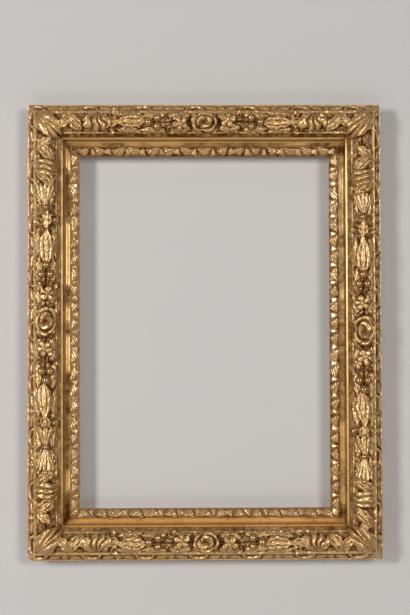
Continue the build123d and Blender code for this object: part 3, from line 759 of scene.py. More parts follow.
def gilding():
    """Gold leaf over red bole: mottled, rubbed through on the high places, and brown in the deep ones and
    where shade is painted.

    It lies over the small flats that the gouge left, each of which leans its own way.
    """
    group = bpy.data.node_groups.new("gilding", "ShaderNodeTree")
    for way, kind, names in (
        ("INPUT", "Color", ("Leaf", "Bole", "Patina", "Dust Colour", "Wood")),
        ("INPUT", "Float", ("Depth", "Dust", "Bare", "Rub", "Dull", "Varnish", "Gouged")),
        ("OUTPUT", "Color", ("Colour",)),
        ("OUTPUT", "Float", ("Metal", "Roughness", "Varnish", "Height")),
    ):
        for name in names:
            group.interface.new_socket(name, in_out=way, socket_type="NodeSocket" + kind)
    gild = Finish("gilding", group)
    given = gild.add("NodeGroupInput").outputs
    result = gild.add("NodeGroupOutput").inputs
    spot = gild.place()
    broad = gild.span(gild.noise(spot, BROAD_SCALE), 0.35, 0.65)
    mottle = gild.noise(spot, MOTTLE_SCALE, 5.0, 0.65)
    speck = gild.noise(spot, SPECK_SCALE, 3.0, 0.6)

    worn = gild.sum(gild.sum(mottle, gild.times(speck, 0.35)), given["Rub"])
    worn = gild.span(worn, 0.8, 1.02, 0.0, 0.85)
    deep = gild.times(given["Depth"], gild.span(mottle, 0.3, 0.7, 0.55, 1.25), clamp=True)
    dusty = gild.times(given["Dust"], gild.span(mottle, 0.35, 0.65, 0.1, 0.8), clamp=True)
    bare = given["Bare"]
    colour = gild.blend(gild.times(broad, 0.55), given["Leaf"], PALER_LEAF, "MULTIPLY")
    for share, coat in ((worn, "Bole"), (deep, "Patina"), (dusty, "Dust Colour"), (bare, "Wood")):
        colour = gild.blend(share, colour, given[coat])
    gild.feed(colour, result["Colour"])

    covered = gild.sum(gild.times(deep, 0.75), gild.times(worn, 0.5))
    covered = gild.sum(gild.sum(covered, gild.times(dusty, 0.7)), bare)
    metal = gild.sum(gild.sum(1.0, covered, "SUBTRACT"), 0.0, "MAXIMUM")
    gild.feed(gild.times(metal, BRIGHTEST_METAL), result["Metal"])
    gild.feed(gild.times(gild.span(metal, 0.45, 0.95), given["Varnish"]), result["Varnish"])
    rough = gild.sum(given["Dull"], gild.span(mottle, 0.3, 0.7, -0.05, 0.12))
    rough = gild.sum(rough, gild.times(gild.sum(dusty, bare), 0.3))
    gild.feed(gild.sum(rough, gild.times(deep, 0.55), clamp=True), result["Roughness"])

    flats = gild.add("ShaderNodeTexVoronoi", {"Vector": spot, "Scale": FLATS_PER_METRE}).outputs
    lean = {0: flats["Color"], 1: (0.5, 0.5, 0.5)}
    lean = gild.get("ShaderNodeVectorMath", lean, operation="SUBTRACT")
    aside = {0: spot, 1: flats["Position"]}
    aside = gild.get("ShaderNodeVectorMath", aside, operation="SUBTRACT")
    flat = gild.add("ShaderNodeVectorMath", {0: aside, 1: lean}, operation="DOT_PRODUCT").outputs["Value"]
    flat = gild.times(gild.times(flat, FLATS_PER_METRE), given["Gouged"])
    gild.feed(gild.sum(gild.sum(mottle, speck), flat), result["Height"])
    return group


gilding_group = gilding()


def gilded(name, leaf_colour, rub, dull, relief, varnish, gouged=0.0):
    """Gold leaf on one kind of moulding, which reads depth, dust and bare wood from the piece."""
    gold = Finish(name)
    inputs = {"Leaf": leaf_colour, "Bole": BOLE, "Patina": PATINA, "Dust Colour": DUST, "Wood": BARE_WOOD}
    inputs.update({"Rub": rub, "Dull": dull, "Varnish": varnish, "Gouged": gouged})
    for key in ("Depth", "Dust", "Bare"):
        inputs[key] = gold.add("ShaderNodeAttribute", attribute_name=key.lower()).outputs["Fac"]
    laid = gold.add("ShaderNodeGroup", inputs, node_tree=gilding_group).outputs
    return gold.wear(
        Base_Color=laid["Colour"],
        Metallic=laid["Metal"],
        Roughness=laid["Roughness"],
        Normal=gold.bump(laid["Height"], relief, RELIEF_DEPTH),
        Coat_Weight=laid["Varnish"],
        Coat_Roughness=VARNISH_ROUGHNESS,
        Specular_IOR_Level=GILDING_SPECULAR,
    )


gilded_carving = gilded(
    "gilded_carving", shade(208, 168, 109), rub=0.0, dull=0.28, relief=0.2, varnish=1.0, gouged=24.0
)
# Per side, how dark the fillet, the ground and the band are: dirt mixed with painted shade, set side by
# side to follow how the lamps fall.
FILLET_DIRT_AND_SHADE = {"top": 0.6, "bottom": 0.3, "left": 0.3, "right": 0.12}
GROUND_DIRT_AND_SHADE = {"top": 1.0, "bottom": 0.75, "left": 0.65, "right": 0.7}
BAND_DIRT_AND_SHADE = {"top": 0.3, "bottom": 0.85, "left": 0.2, "right": 0.85}
BAND_DEEP = (0.6, 2.0)
# Dirt mixed with painted shade: the carving is darker wherever it lies below its surroundings or deep, as
# shade falls there.
HOLLOW_REACH = 4
HOLLOW_FULL = 1.1
HOLLOW_DIRT_AND_SHADE = 0.95
DEEP_FROM = -1.8
DEEP_SPAN = 2.2
DEEP_DIRT_AND_SHADE = 0.9
DUST_FROM = 0.35


def store(piece, name, values):
    piece.data.attributes.new(name, "FLOAT", "POINT").data.foreach_set("value", np.ravel(values))


def lay_dust(piece):
    """Stores how much dust lies on each point of a piece, which is most where it looks up."""
    normals = np.empty(3 * len(piece.data.vertices))
    piece.data.vertex_normals.foreach_get("vector", normals)
    store(piece, "dust", rise(normals[2::3], DUST_FROM, 1.0))


def carved_dirt_and_shade(side, height):
    """Dirt and painted shade in the carving's hollows and deep places, and on the band, the fillet and the
    ground.
    """
    low_places = np.clip((soften(height, HOLLOW_REACH) - height) / HOLLOW_FULL, 0, 1)
    deep_places = np.clip((DEEP_FROM - height) / DEEP_SPAN, 0, 1)
    dirt_and_shade = np.clip(HOLLOW_DIRT_AND_SHADE * low_places + DEEP_DIRT_AND_SHADE * deep_places, 0, 1)
    in_band = BAND_DIRT_AND_SHADE[side.name] * rise(-height[:, BAND], *BAND_DEEP)
    dirt_and_shade[:, BAND] = np.maximum(dirt_and_shade[:, BAND], in_band)
    dirt_and_shade[:, FILLET] = FILLET_DIRT_AND_SHADE[side.name]
    dirt_and_shade[:, GROUND] = np.maximum(dirt_and_shade[:, GROUND], GROUND_DIRT_AND_SHADE[side.name])
    return dirt_and_shade


for side in SIDES:
    share, height = carve(side)
    inward = np.clip(section[:, 0] + height * section_normal[:, 0], 0.0, CARVED_WIDTH)
    inward[:, -1] = CARVED_WIDTH
    lift = section[:, 1] + height * section_normal[:, 1]
    along, inward = knock_off_corners(side, share[:, None] * (side.half - inward), inward)
    foot = np.full((len(share), 1), CARVED_WIDTH)
    along = np.concatenate([along, share[:, None] * (side.half - foot)], axis=1)
    inward = np.concatenate([inward, foot], axis=1)
    lift = np.concatenate([lift, np.zeros_like(foot)], axis=1)
    faces = ring_faces(len(share), inward.shape[1], side.turned)
    piece = new_piece("carved_moulding_" + side.name, side.at(along, inward, lift), faces, gilded_carving)
    store(piece, "depth", np.concatenate([carved_dirt_and_shade(side, height), np.zeros_like(foot)], axis=1))
    lay_dust(piece)
    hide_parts("carved_" + side.name)
    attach(piece, "frame")


# Berries of the garland: round balls cut in threes beside the husks, and smaller ones at the bells' ends.
# They are of the same limewood, gilded with it and burnished, in a darker gold that paints shade on them,
# and darker still at their sides with dirt and painted shade. Each is an instance of one ball.
def settle(piece):
    """Turns what the piece's nodes make into its plain mesh."""
    graph = bpy.context.evaluated_depsgraph_get()
    mesh = bpy.data.meshes.new_from_object(piece.evaluated_get(graph))
    piece.modifiers.clear()
    piece.data = mesh


class Grower(Finish):
    """A tree of geometry nodes with named inputs, whose result is realised and gets a material."""

    def __init__(self, name, **inputs):
        tree = bpy.data.node_groups.new(name, "GeometryNodeTree")
        tree.is_modifier = True
        tree.interface.new_socket("Geometry", in_out="OUTPUT", socket_type="NodeSocketGeometry")
        for key, kind in {"Geometry": "Geometry", **inputs, "Finish": "Material"}.items():
            named = key.replace("_", " ")
            tree.interface.new_socket(named, in_out="INPUT", socket_type="NodeSocket" + kind)
        super().__init__(name, tree)
        self.given = self.add("NodeGroupInput").outputs

    def end(self, geometry):
        whole = self.get("GeometryNodeRealizeInstances", {"Geometry": geometry})
        done = self.get("GeometryNodeSetMaterial", {"Geometry": whole, "Material": self.given["Finish"]})
        self.feed(done, self.add("NodeGroupOutput").inputs["Geometry"])

    def grow(self, piece, **values):
        nodes = piece.modifiers.new(self.tree.name, "NODES")
        nodes.node_group = self.tree
        for socket in self.tree.interface.items_tree:
            key = socket.name.replace(" ", "_")
            if socket.in_out == "INPUT" and key in values:
                nodes[socket.identifier] = values[key]
        settle(piece)


def berry_tree():
    tree = Grower("berries", Roundness="Int")
    ball = {"Radius": 0.5, "Subdivisions": tree.given["Roundness"]}
    ball = tree.get("GeometryNodeMeshIcoSphere", ball)
    smooth = tree.get("GeometryNodeSetShadeSmooth", {"Geometry": ball})
    size = tree.add("GeometryNodeInputNamedAttribute", {"Name": "size"}, data_type="FLOAT")
    size = size.outputs["Attribute"]
    on_points = {"Points": tree.given["Geometry"], "Instance": smooth, "Scale": size}
    tree.end(tree.get("GeometryNodeInstanceOnPoints", on_points))
    return tree


# The berries' gold is darker than the carving's, and darker still away from the crown: painted shade mixed
# with dirt.
BERRY_SINK = 0.08
BERRY_ROUNDNESS = 4
BERRY_DIRT_AND_SHADE = 0.5
CROWN_CLEAN_AND_LIT = 0.65
rubbed_berries = gilded(
    "rubbed_berries", shade(178, 138, 82), rub=0.0, dull=0.14, relief=0.1, varnish=1.0
)
torus_x, torus_y, torus_radius = circle_through(torus_outer, torus_crest, torus_inner)
crest = section_normal[TORUS][len(across_torus) // 2]
centres = []
for side, along, across, size in berry_places:
    radius = torus_radius - size * BERRY_SINK
    tilt = atan2(crest[1], crest[0]) - across / torus_radius
    centres.append(side.at(along, torus_x + radius * cos(tilt), torus_y + radius * sin(tilt)))
sizes = [size * MM for side, along, across, size in berry_places]
berries = new_piece("berries", centres, [], rubbed_berries)
store(berries, "size", sizes)
berry_tree().grow(berries, Roundness=BERRY_ROUNDNESS, Finish=rubbed_berries)
corners = np.empty(3 * len(berries.data.vertices))
berries.data.vertices.foreach_get("co", corners)
from_centre = corners.reshape(len(centres), -1, 3) - np.array(centres)[:, None, :] * MM
crown = from_centre @ FRONT / (np.array(sizes)[:, None] / 2)
store(berries, "depth", np.clip(BERRY_DIRT_AND_SHADE - CROWN_CLEAN_AND_LIT * crown, 0, 1))
lay_dust(berries)
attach(berries, "frame")


# Hollow mouldings: the plain ring between the carving and the sight slip, mitred and glued to the oak.
# A bead, a scotia and a fillet run with a plane, water-gilded over red bole and burnished with an agate.
BEAD_WIDTH = 3.6
BEAD_RISE = 1.4
BEAD_STEP = 0.35
SCOTIA_WIDTH = 7.4
SCOTIA_FLOOR = 6.5
SCOTIA_SAG = 2.3
SCOTIA_STEP = 0.6
INNER_FILLET = 1.0
SLIP_TONGUE = 4.0
TONGUE_WIDTH = 7.0
SLIP_START = CARVED_WIDTH + BEAD_WIDTH + SCOTIA_WIDTH + INNER_FILLET
STEP_PLAIN = 5.0
PLAIN_CREASE = 40.0
WAVE = 0.3
WAVE_LENGTH = 21.0
# Per side, how dark the bead, the scotia's steep part, floor and lip, and the inner fillet are: dirt mixed
# with painted shade,
# set side by side to follow how the lamps fall. Patches along the scotia are left cleaner as painted sheen.
FLOOR_DIRT_AND_SHADE = {"top": 0.0, "bottom": 0.0, "left": 0.52, "right": 0.75}
STEEP_DIRT_AND_SHADE = {"top": 0.7, "bottom": 0.2, "left": 0.9, "right": 0.8}
LIP_DIRT_AND_SHADE = {"top": 0.75, "bottom": 0.2, "left": 0.3, "right": -0.1}
BEAD_DIRT_AND_SHADE = {"top": 0.2, "bottom": 0.25, "left": 0.4, "right": 0.0}
SHEEN_PATCHES = {"top": 0.6, "bottom": 0.1, "left": 0.8, "right": 0.45}
STEEP_END = (0.3, 0.5)
LIP_START = (0.55, 0.7)
PATCH_RANGE = (0.45, 0.75)
PATCH_LENGTH = 26.0
PATCH_SEED = 7
INNER_FILLET_DIRT_AND_SHADE = 0.7
MITRE_DIRT_AND_SHADE = 0.6
MITRE_DARKENING_REACH = 11.0
burnished_gold = gilded(
    "burnished_gold", shade(220, 178, 110), rub=-0.04, dull=0.27, relief=0.12, varnish=0.7
)
rubbed_gold = gilded("rubbed_gold", shade(230, 172, 96), rub=0.08, dull=0.34, relief=0.12, varnish=0.3)
scotia_start = (CARVED_WIDTH + BEAD_WIDTH, GROUND_HEIGHT)
scotia_end = (scotia_start[0] + SCOTIA_WIDTH, SCOTIA_FLOOR)
scotia_middle = [(a + b) / 2 - SCOTIA_SAG for a, b in zip(scotia_start, scotia_end)]
bead_crest = (CARVED_WIDTH + BEAD_WIDTH / 2, GROUND_HEIGHT + BEAD_RISE)
bead = bow(ground_end, bead_crest, scotia_start, BEAD_STEP)[0]
scotia = bow(scotia_start, scotia_middle, scotia_end, SCOTIA_STEP)[0]
SCOTIA = slice(1 + len(bead), 1 + len(bead) + len(scotia))
hollow_outline = np.concatenate([
    [(CARVED_WIDTH, 0.0)],
    bead,
    scotia,
    [(SLIP_START, SCOTIA_FLOOR), (SLIP_START, SLIP_TONGUE), (SLIP_START - TONGUE_WIDTH, SLIP_TONGUE)],
    [(SLIP_START - TONGUE_WIDTH, 0.0)],
])


def run_moulding(side, outline, step):
    """Rings of a plain section along a side, cut to the mitres."""
    count = round(2 * side.half / step) + 1
    share = np.linspace(-1, 1, count)
    outline = np.asarray(outline)
    along = share[:, None] * (side.half - outline[:, 0])
    inward = np.broadcast_to(outline[:, 0], along.shape)
    points = side.at(along, inward, np.broadcast_to(outline[:, 1], along.shape))
    return points, ring_faces(count, len(outline), side.turned)


def along_scotia(count, length, seed):
    """Smooth random values from 0 to 1 for each ring of a hollow, which change over that length."""
    place = np.arange(count) * STEP_PLAIN
    return grain(place, np.zeros_like(place), length, seed)


def hollow_dirt_and_shade(side, count):
    """Dirt and painted shade in the scotia, most in the steep part and towards the mitres, with cleaner
    patches of painted sheen.
    """
    dirt_and_shade = np.full(len(hollow_outline), BEAD_DIRT_AND_SHADE[side.name])
    down = np.linspace(0, 1, len(scotia))
    steep, flat = STEEP_DIRT_AND_SHADE[side.name], FLOOR_DIRT_AND_SHADE[side.name]
    dirt_and_shade[SCOTIA] = flat + (steep - flat) * (1 - rise(down, *STEEP_END))
    dirt_and_shade[SCOTIA] += LIP_DIRT_AND_SHADE[side.name] * rise(down, *LIP_START)
    dirt_and_shade[SCOTIA.stop:] = INNER_FILLET_DIRT_AND_SHADE
    share = np.linspace(-1, 1, count)
    ends = MITRE_DIRT_AND_SHADE * np.exp(-(1 - np.abs(share)) * (side.half - SLIP_START) / MITRE_DARKENING_REACH)
    sheen_patch = rise(along_scotia(count, PATCH_LENGTH, PATCH_SEED + len(side.name)), *PATCH_RANGE)
    dirt_and_shade = np.tile(dirt_and_shade, (count, 1))
    dirt_and_shade[:, SCOTIA] *= 1 - SHEEN_PATCHES[side.name] * sheen_patch[:, None]
    return np.clip(dirt_and_shade + ends[:, None], 0, 1)


for side in SIDES:
    points, faces = run_moulding(side, hollow_outline, STEP_PLAIN)
    wave = WAVE * (2 * along_scotia(len(points), WAVE_LENGTH, len(side.name)) - 1)
    bulge = np.sin(pi * np.linspace(0, 1, len(scotia)))
    points[:, SCOTIA] += (wave[:, None] * bulge)[..., None] * FRONT
    gold = rubbed_gold if side.name == "bottom" else burnished_gold
    piece = new_piece("hollow_moulding_" + side.name, points, faces, gold, PLAIN_CREASE)
    store(piece, "depth", hollow_dirt_and_shade(side, len(points)))
    lay_dust(piece)
    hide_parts("hollow_" + side.name)
    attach(piece, "frame")


# Sight slips: the narrow inner ring, whose tongue lies under the hollow and whose lip holds the picture.
# The slope towards the opening is cut with leaf tips and darts in turn, then gilded like the carving.
SLIP_FILLET = 1.5
SLIP_SLOPE = 10.0
SLIP_HEIGHT = 8.5
SLIP_LIP = 3.5
SLIP_QUIRK = (0.4, 1.2)
SLIP_UNDERCUT = 0.6
LEAF_PITCH = 21.4
TIP_SHARE = 0.9
DART_SHARE = 0.7
TIP_UNDERSIDE = -1.6
TIP_FOOT = 0.5
TIP_CREASE = 75.0
# Per side, dirt mixed with painted shade on the slip and its tips, set side by side to follow how the lamps
# fall.
SLIP_DIRT_AND_SHADE = {"top": 0.95, "bottom": 0.85, "left": 0.62, "right": 0.88}
SLIP_SEED = 4
SLIP_SWAY = 0.36
SLIP_SMALLEST = (0.66, 0.84, 0.65)
SLIP_LARGEST = (1.2, 1.0, 1.3)
SLOPE_START = SLIP_START + SLIP_FILLET
SIGHT = SLOPE_START + SLIP_SLOPE
SLOPE_DROP = SLIP_HEIGHT - SLIP_LIP
SLOPE_LENGTH = hypot(SLIP_SLOPE, SLOPE_DROP)
gilded_sight = gilded(
    "gilded_sight", shade(216, 176, 118), rub=0.0, dull=0.22, relief=0.2, varnish=1.0, gouged=14.0
)
slip_outline = (
    (SLIP_START, SLIP_TONGUE),
    (SLIP_START, SLIP_HEIGHT),
    (SLOPE_START, SLIP_HEIGHT),
    (SLOPE_START + SLIP_QUIRK[0], SLIP_HEIGHT - SLIP_QUIRK[1]),
    (SIGHT, SLIP_LIP - SLIP_UNDERCUT),
    (SIGHT, 0.0),
    (SLIP_START - TONGUE_WIDTH, 0.0),
    (SLIP_START - TONGUE_WIDTH, SLIP_TONGUE),
)


def tip_mesh(name, length, width, form, rows, columns):
    """A carved tip in its own plane, from its foot to the opening: a skin over it, closed below."""
    points, depths = [], []
    for i in range(rows + 1):
        t = i / rows
        for j in range(columns + 1):
            u = 2 * j / columns - 1
            share, height, deep = form(t, u)
            half = share * width / 2
            on_edge = i in (0, rows) or j in (0, columns)
            points.append((half * u, length * t, TIP_UNDERSIDE if on_edge else height))
            # The tip's border is set fully dark, painted shade where it meets the slip.
            depths.append(1.0 if on_edge else deep)
    wide = columns + 1
    faces = [
        [i * wide + j, i * wide + j + 1, (i + 1) * wide + j + 1, (i + 1) * wide + j]
        for i in range(rows) for j in range(columns)
    ]
    edge = list(range(columns)) + [i * wide + columns for i in range(rows)]
    edge += [rows * wide + j for j in range(columns, 0, -1)] + [i * wide for i in range(rows, 0, -1)]
    tip = new_piece(name, points, faces + [edge[::-1]], gilded_sight, TIP_CREASE)
    store(tip, "depth", depths)
    return tip


def leaf_tip(t, u):
    """Share of the width, height and depth of a leaf tip: a rounded leaf cut with slanting veins."""
    vein = (1 - abs(sin(pi * (2.6 * t - 1.3 * u)))) ** 1.2
    height = 2.3 * (1 - 0.7 * abs(u - 0.25)) * sin(pi * (0.2 + 0.6 * t)) - 1.3 * vein
    share = (1 - t**2.4) ** 0.8 * (0.82 + 0.18 * abs(sin(3.2 * pi * t)))
    # The depth darkens the veins and the sides of the tip: dirt mixed with painted shade.
    return max(0.05, share), height, min(1.0, 0.9 * vein + 0.5 * abs(u) ** 4)


def dart(t, u):
    """Share of the width, height and depth of the dart between two tips, which widens to the opening."""
    # Its depth darkens it towards its foot: dirt mixed with painted shade.
    return 0.12 + 0.88 * t, 0.9 + 0.7 * t * (1 - abs(u + 0.3) / 1.3), 0.3 * (1 - t)


def slip_tree():
    names = {"Start": "Vector", "End": "Vector", "Count": "Int", "Turn": "Rotation", "Tip": "Object"}
    names.update({"Dart_Start": "Vector", "Dart_End": "Vector", "Dart": "Object", "Unevenness": "Float"})
    tree = Grower("sight_slip", **names, Smallest="Vector", Largest="Vector")
    given = tree.given
    parts = [given["Geometry"]]
    least = tree.times(given["Unevenness"], -1.0)
    for start, end, shape in (("Start", "End", "Tip"), ("Dart Start", "Dart End", "Dart")):
        line = tree.get("GeometryNodeCurvePrimitiveLine", {"Start": given[start], "End": given[end]})
        row = tree.get("GeometryNodeResampleCurve", {"Curve": line, "Count": given["Count"]}, mode="COUNT")
        model = tree.add("GeometryNodeObjectInfo", {"Object": given[shape], "As Instance": True})
        between = {2: least, 3: given["Unevenness"], "Seed": SLIP_SEED}
        swing = tree.add("FunctionNodeRandomValue", between, data_type="FLOAT").outputs[1]
        lean = tree.get("FunctionNodeAxisAngleToRotation", {"Angle": swing})
        both = {"Rotation": given["Turn"], "Rotate By": lean}
        sizes = {0: given["Smallest"], 1: given["Largest"], "Seed": SLIP_SEED + len(shape)}
        on_points = {
            "Points": row,
            "Instance": model.outputs["Geometry"],
            "Rotation": tree.get("FunctionNodeRotateRotation", both, rotation_space="LOCAL"),
            "Scale": tree.get("FunctionNodeRandomValue", sizes, data_type="FLOAT_VECTOR"),
        }
        parts.append(tree.get("GeometryNodeInstanceOnPoints", on_points))
    whole = tree.add("GeometryNodeJoinGeometry")
    for part in reversed(parts):
        tree.feed(part, whole.inputs["Geometry"])
    tree.end(whole.outputs["Geometry"])
    return tree


tip_model = tip_mesh("sight_leaf", SLOPE_LENGTH, TIP_SHARE * LEAF_PITCH, leaf_tip, rows=14, columns=10)
dart_model = tip_mesh("sight_dart", SLOPE_LENGTH, DART_SHARE * LEAF_PITCH, dart, rows=6, columns=6)
sight_slip = slip_tree()
slip_back = [
    height <= SLIP_TONGUE and inward != SIGHT or height == 0 for inward, height in slip_outline
]
for side in SIDES:
    points, faces = run_moulding(side, slip_outline, STEP_PLAIN)
    piece = new_piece("sight_slip_" + side.name, points, faces, gilded_sight, PLAIN_CREASE)
    bare = np.tile(slip_back, len(points))
    # The slip's whole face under the tips is set fully dark, painted shade in the gaps between them.
    store(piece, "depth", np.where(bare, 0.0, 1.0))
    store(piece, "bare", bare.astype(float))
    down = side.inward * SLIP_SLOPE / SLOPE_LENGTH - FRONT * SLOPE_DROP / SLOPE_LENGTH
    out = FRONT * SLIP_SLOPE / SLOPE_LENGTH + side.inward * SLOPE_DROP / SLOPE_LENGTH
    turn = Matrix(np.stack([np.cross(down, out), down, out], axis=1).tolist()).to_euler()
    reach = side.half - SIGHT - LEAF_PITCH / 4
    count = round(2 * reach / LEAF_PITCH) + 1
    pitch = 2 * reach / (count - 1)
    ends = [side.at(sign * reach, SLOPE_START, SLIP_HEIGHT - TIP_FOOT) * MM for sign in (-1, 1)]
    dart_ends = [end + side.along * MM * pitch / 2 for end in ends]
    sight_slip.grow(
        piece,
        Start=ends[0].tolist(), End=ends[1].tolist(), Count=count, Turn=tuple(turn), Tip=tip_model,
        Dart_Start=dart_ends[0].tolist(), Dart_End=dart_ends[1].tolist(), Dart=dart_model,
        Unevenness=SLIP_SWAY, Smallest=SLIP_SMALLEST, Largest=SLIP_LARGEST, Finish=gilded_sight,
    )
    grown = piece.data.attributes["depth"].data
    depth = np.empty(len(grown))
    grown.foreach_get("value", depth)
    grown.foreach_set("value", SLIP_DIRT_AND_SHADE[side.name] * depth)
    lay_dust(piece)
    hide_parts("sight_" + side.name)
    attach(piece, "frame")
for model in (tip_model, dart_model):
    bpy.data.objects.remove(model)


# Hanging ring and its plate: a wire ring held by a folded brass plate, screwed to the back of the top rail.
# The ring is drawn brass wire bent to a D and swings in the fold. Both have gone dull and brown.
BRASS = shade(172, 132, 70)
BRASS_BROWN = shade(92, 66, 36)
BRASS_DULL = 0.3
CLOUD_SCALE = 90.0
CLOUD_DULL = 0.25
CLOUD_METAL = 0.7
FLECK_SCALE = 900.0
FLECK_STRENGTH = 0.25
FLECK_DEPTH = 0.0002
RING_HALF = 11.0
RING_CENTRE = -15.5
RING_CORNER = 3.0
RING_WIRE = 1.4
WIRE_SIDES = 16
CORNER_POINTS = 7
LOWER_POINTS = 33


def aged_metal(name, bright, dark, dull):
    """Old metal with tarnish in broad clouds and fine flecks."""
    metal = Finish(name)
    spot = metal.place()
    cloud = metal.span(metal.noise(spot, CLOUD_SCALE, 4.0), 0.4, 0.66)
    fleck = metal.noise(spot, FLECK_SCALE)
    rough = metal.span(cloud, 0.0, 1.0, dull, dull + CLOUD_DULL)
    return metal.wear(
        Base_Color=metal.blend(cloud, bright, dark),
        Metallic=metal.span(cloud, 0.0, 1.0, 1.0, CLOUD_METAL),
        Roughness=metal.sum(rough, metal.span(fleck, 0.3, 0.7, 0.0, 0.1)),
        Normal=metal.bump(fleck, FLECK_STRENGTH, FLECK_DEPTH),
    )


def ring_path():
    """The middle of the ring's wire, a D whose straight bar lies on the axis that it swings on."""
    bend = np.linspace(0, pi / 2, CORNER_POINTS)
    across, drop = RING_HALF + RING_CORNER * (np.sin(bend) - 1), RING_CORNER * (np.cos(bend) - 1)
    corner = np.stack([across, drop], axis=1)
    sweep = np.linspace(0, pi, LOWER_POINTS)
    lower = np.stack([RING_HALF * np.cos(sweep), RING_CENTRE - RING_HALF * np.sin(sweep)], axis=1)
    return np.insert(np.concatenate([corner, lower, corner[::-1] * (-1, 1)]), 1, 0.0, axis=1)


def wire_tree():
    tree = Grower("bent_wire", Wire_Radius="Float", Sides="Int")
    path = tree.get("GeometryNodeMeshToCurve", {"Mesh": tree.given["Geometry"]})
    size = {"Radius": tree.given["Wire Radius"], "Resolution": tree.given["Sides"]}
    profile = tree.get("GeometryNodeCurvePrimitiveCircle", size)
    wire = tree.get("GeometryNodeCurveToMesh", {"Curve": path, "Profile Curve": profile})
    tree.end(tree.get("GeometryNodeSetShadeSmooth", {"Geometry": wire}))
    return tree


brass = aged_metal("aged_brass", BRASS, BRASS_BROWN, BRASS_DULL)
path = ring_path()
links = [(i, (i + 1) % len(path)) for i in range(len(path))]
ring = new_piece("wire_ring", path, [], brass, edges=links)
wire_tree().grow(ring, Wire_Radius=RING_WIRE * MM, Sides=WIRE_SIDES, Finish=brass)
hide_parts("hanging_ring")
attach(ring, "ring")
paint_node("hanger_plate", brass)


# Turn buttons: four small brass strips that keep a picture in the rabbet, two on each stile.
# Each is stamped from sheet with clipped corners and filed edges, and turns on its own screw.
BUTTON_LENGTH = 24.0
BUTTON_WIDTH = 9.0
BUTTON_CLIP = 2.5
CLIP_SHRINK = 0.6
BUTTON_HOLE = 1.56
BUTTON_FILED = 0.45
BUTTON_CREASE = 25.0
BUTTON_ACROSS = 178.0
BUTTON_LEVELS = {"upper": -131.0, "lower": -391.0}
EDGE_POINTS = 6


def button_outline(inset):
    """The strip's outline round its screw, which sits half a width from its upper end."""
    half = BUTTON_WIDTH / 2 - inset
    foot = BUTTON_WIDTH / 2 - BUTTON_LENGTH + inset
    clip = BUTTON_CLIP - CLIP_SHRINK * inset
    right = [(half, foot + clip), (half, half - clip), (half - clip, half)]
    left = [(-x, z) for x, z in reversed(right)]
    corners = np.array(right + left + [(clip - half, foot), (half - clip, foot)])
    share = np.linspace(0, 1, EDGE_POINTS, endpoint=False)[None, :, None]
    sides = corners[:, None, :] * (1 - share) + np.roll(corners, -1, axis=0)[:, None, :] * share
    return sides.reshape(-1, 2)


def make_button(hand, level):
    name = "turn_button_" + hand + "_" + level
    low, high = (corner[1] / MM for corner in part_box(name))
    whole, filed = button_outline(0.0), button_outline(BUTTON_FILED)
    hole = BUTTON_HOLE * whole / np.linalg.norm(whole, axis=1)[:, None]
    loops = ((hole, low), (whole, low), (whole, high - BUTTON_FILED), (filed, high), (hole, high))
    pivot = (BUTTON_ACROSS * (-1 if hand == "left" else 1), 0.0, BUTTON_LEVELS[level])
    points = np.array([np.insert(loop, 1, y, axis=1) for loop, y in loops]) + pivot
    count = len(whole)
    cell = np.arange(len(loops) * count).reshape(len(loops), count)
    beside = np.roll(cell, -1, axis=1)
    faces = np.stack([cell, np.roll(cell, -1, axis=0), np.roll(beside, -1, axis=0), beside], axis=-1)
    button = new_piece("brass_" + name, points, faces.reshape(-1, 4).tolist(), brass, BUTTON_CREASE)
    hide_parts(name)
    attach(button, "button_" + hand + "_" + level)


for hand in ("left", "right"):
    for level in BUTTON_LEVELS:
        make_button(hand, level)


# Screws: one through the ring's plate and one through each turn button, driven into the oak.
# Turned steel with a low domed head, slotted with a saw, gone dull. Each is one instance of a screw.
STEEL = shade(150, 148, 144)
STEEL_BROWN = shade(84, 72, 62)
STEEL_DULL = 0.35
HEAD_RADIUS = 3.0
HEAD_HEIGHT = 1.7
HEAD_DOME = 0.5
HEAD_COLUMNS = (0.8, 1.6, 2.3, 2.75, 2.95, 2.995)
HEAD_ROWS = 15
HEAD_CREASE = 30.0
SLOT_WIDTH = 0.7
SLOT_DEPTH = 0.7
SLOT_WALL = 0.01
SHANK_RADIUS = 1.5
SHANK_LENGTH = 12.0
SHANK_SIDES = 16
SHANK_IN_HEAD = 0.2
SCREW_SEED = 7
SCREW_TURN = 1.2
HANGER_SCREW_LEVEL = -10.0


def screw_points():
    """The top and the underside of the head, as grids with columns beside the slot, and then the shank."""
    lip = SLOT_WIDTH / 2
    right = [lip - SLOT_WALL, lip + SLOT_WALL, *HEAD_COLUMNS]
    across = np.array([-x for x in reversed(right)] + right)
    x, share = np.meshgrid(across, np.linspace(-1, 1, HEAD_ROWS), indexing="ij")
    z = share * np.sqrt(HEAD_RADIUS**2 - x**2)
    dome = HEAD_HEIGHT - HEAD_DOME * (x**2 + z**2) / HEAD_RADIUS**2
    top = np.stack([x, dome - SLOT_DEPTH * (np.abs(x) < lip), z], axis=-1)
    angle = np.linspace(0, 2 * pi, SHANK_SIDES, endpoint=False)
    around = SHANK_RADIUS * np.stack([np.cos(angle), np.zeros(SHANK_SIDES), np.sin(angle)], axis=1)
    ends = [around + (0, SHANK_IN_HEAD, 0), around - (0, SHANK_LENGTH, 0)]
    return np.concatenate([top.reshape(-1, 3), (top * (1, 0, 1)).reshape(-1, 3), *ends]), x.shape


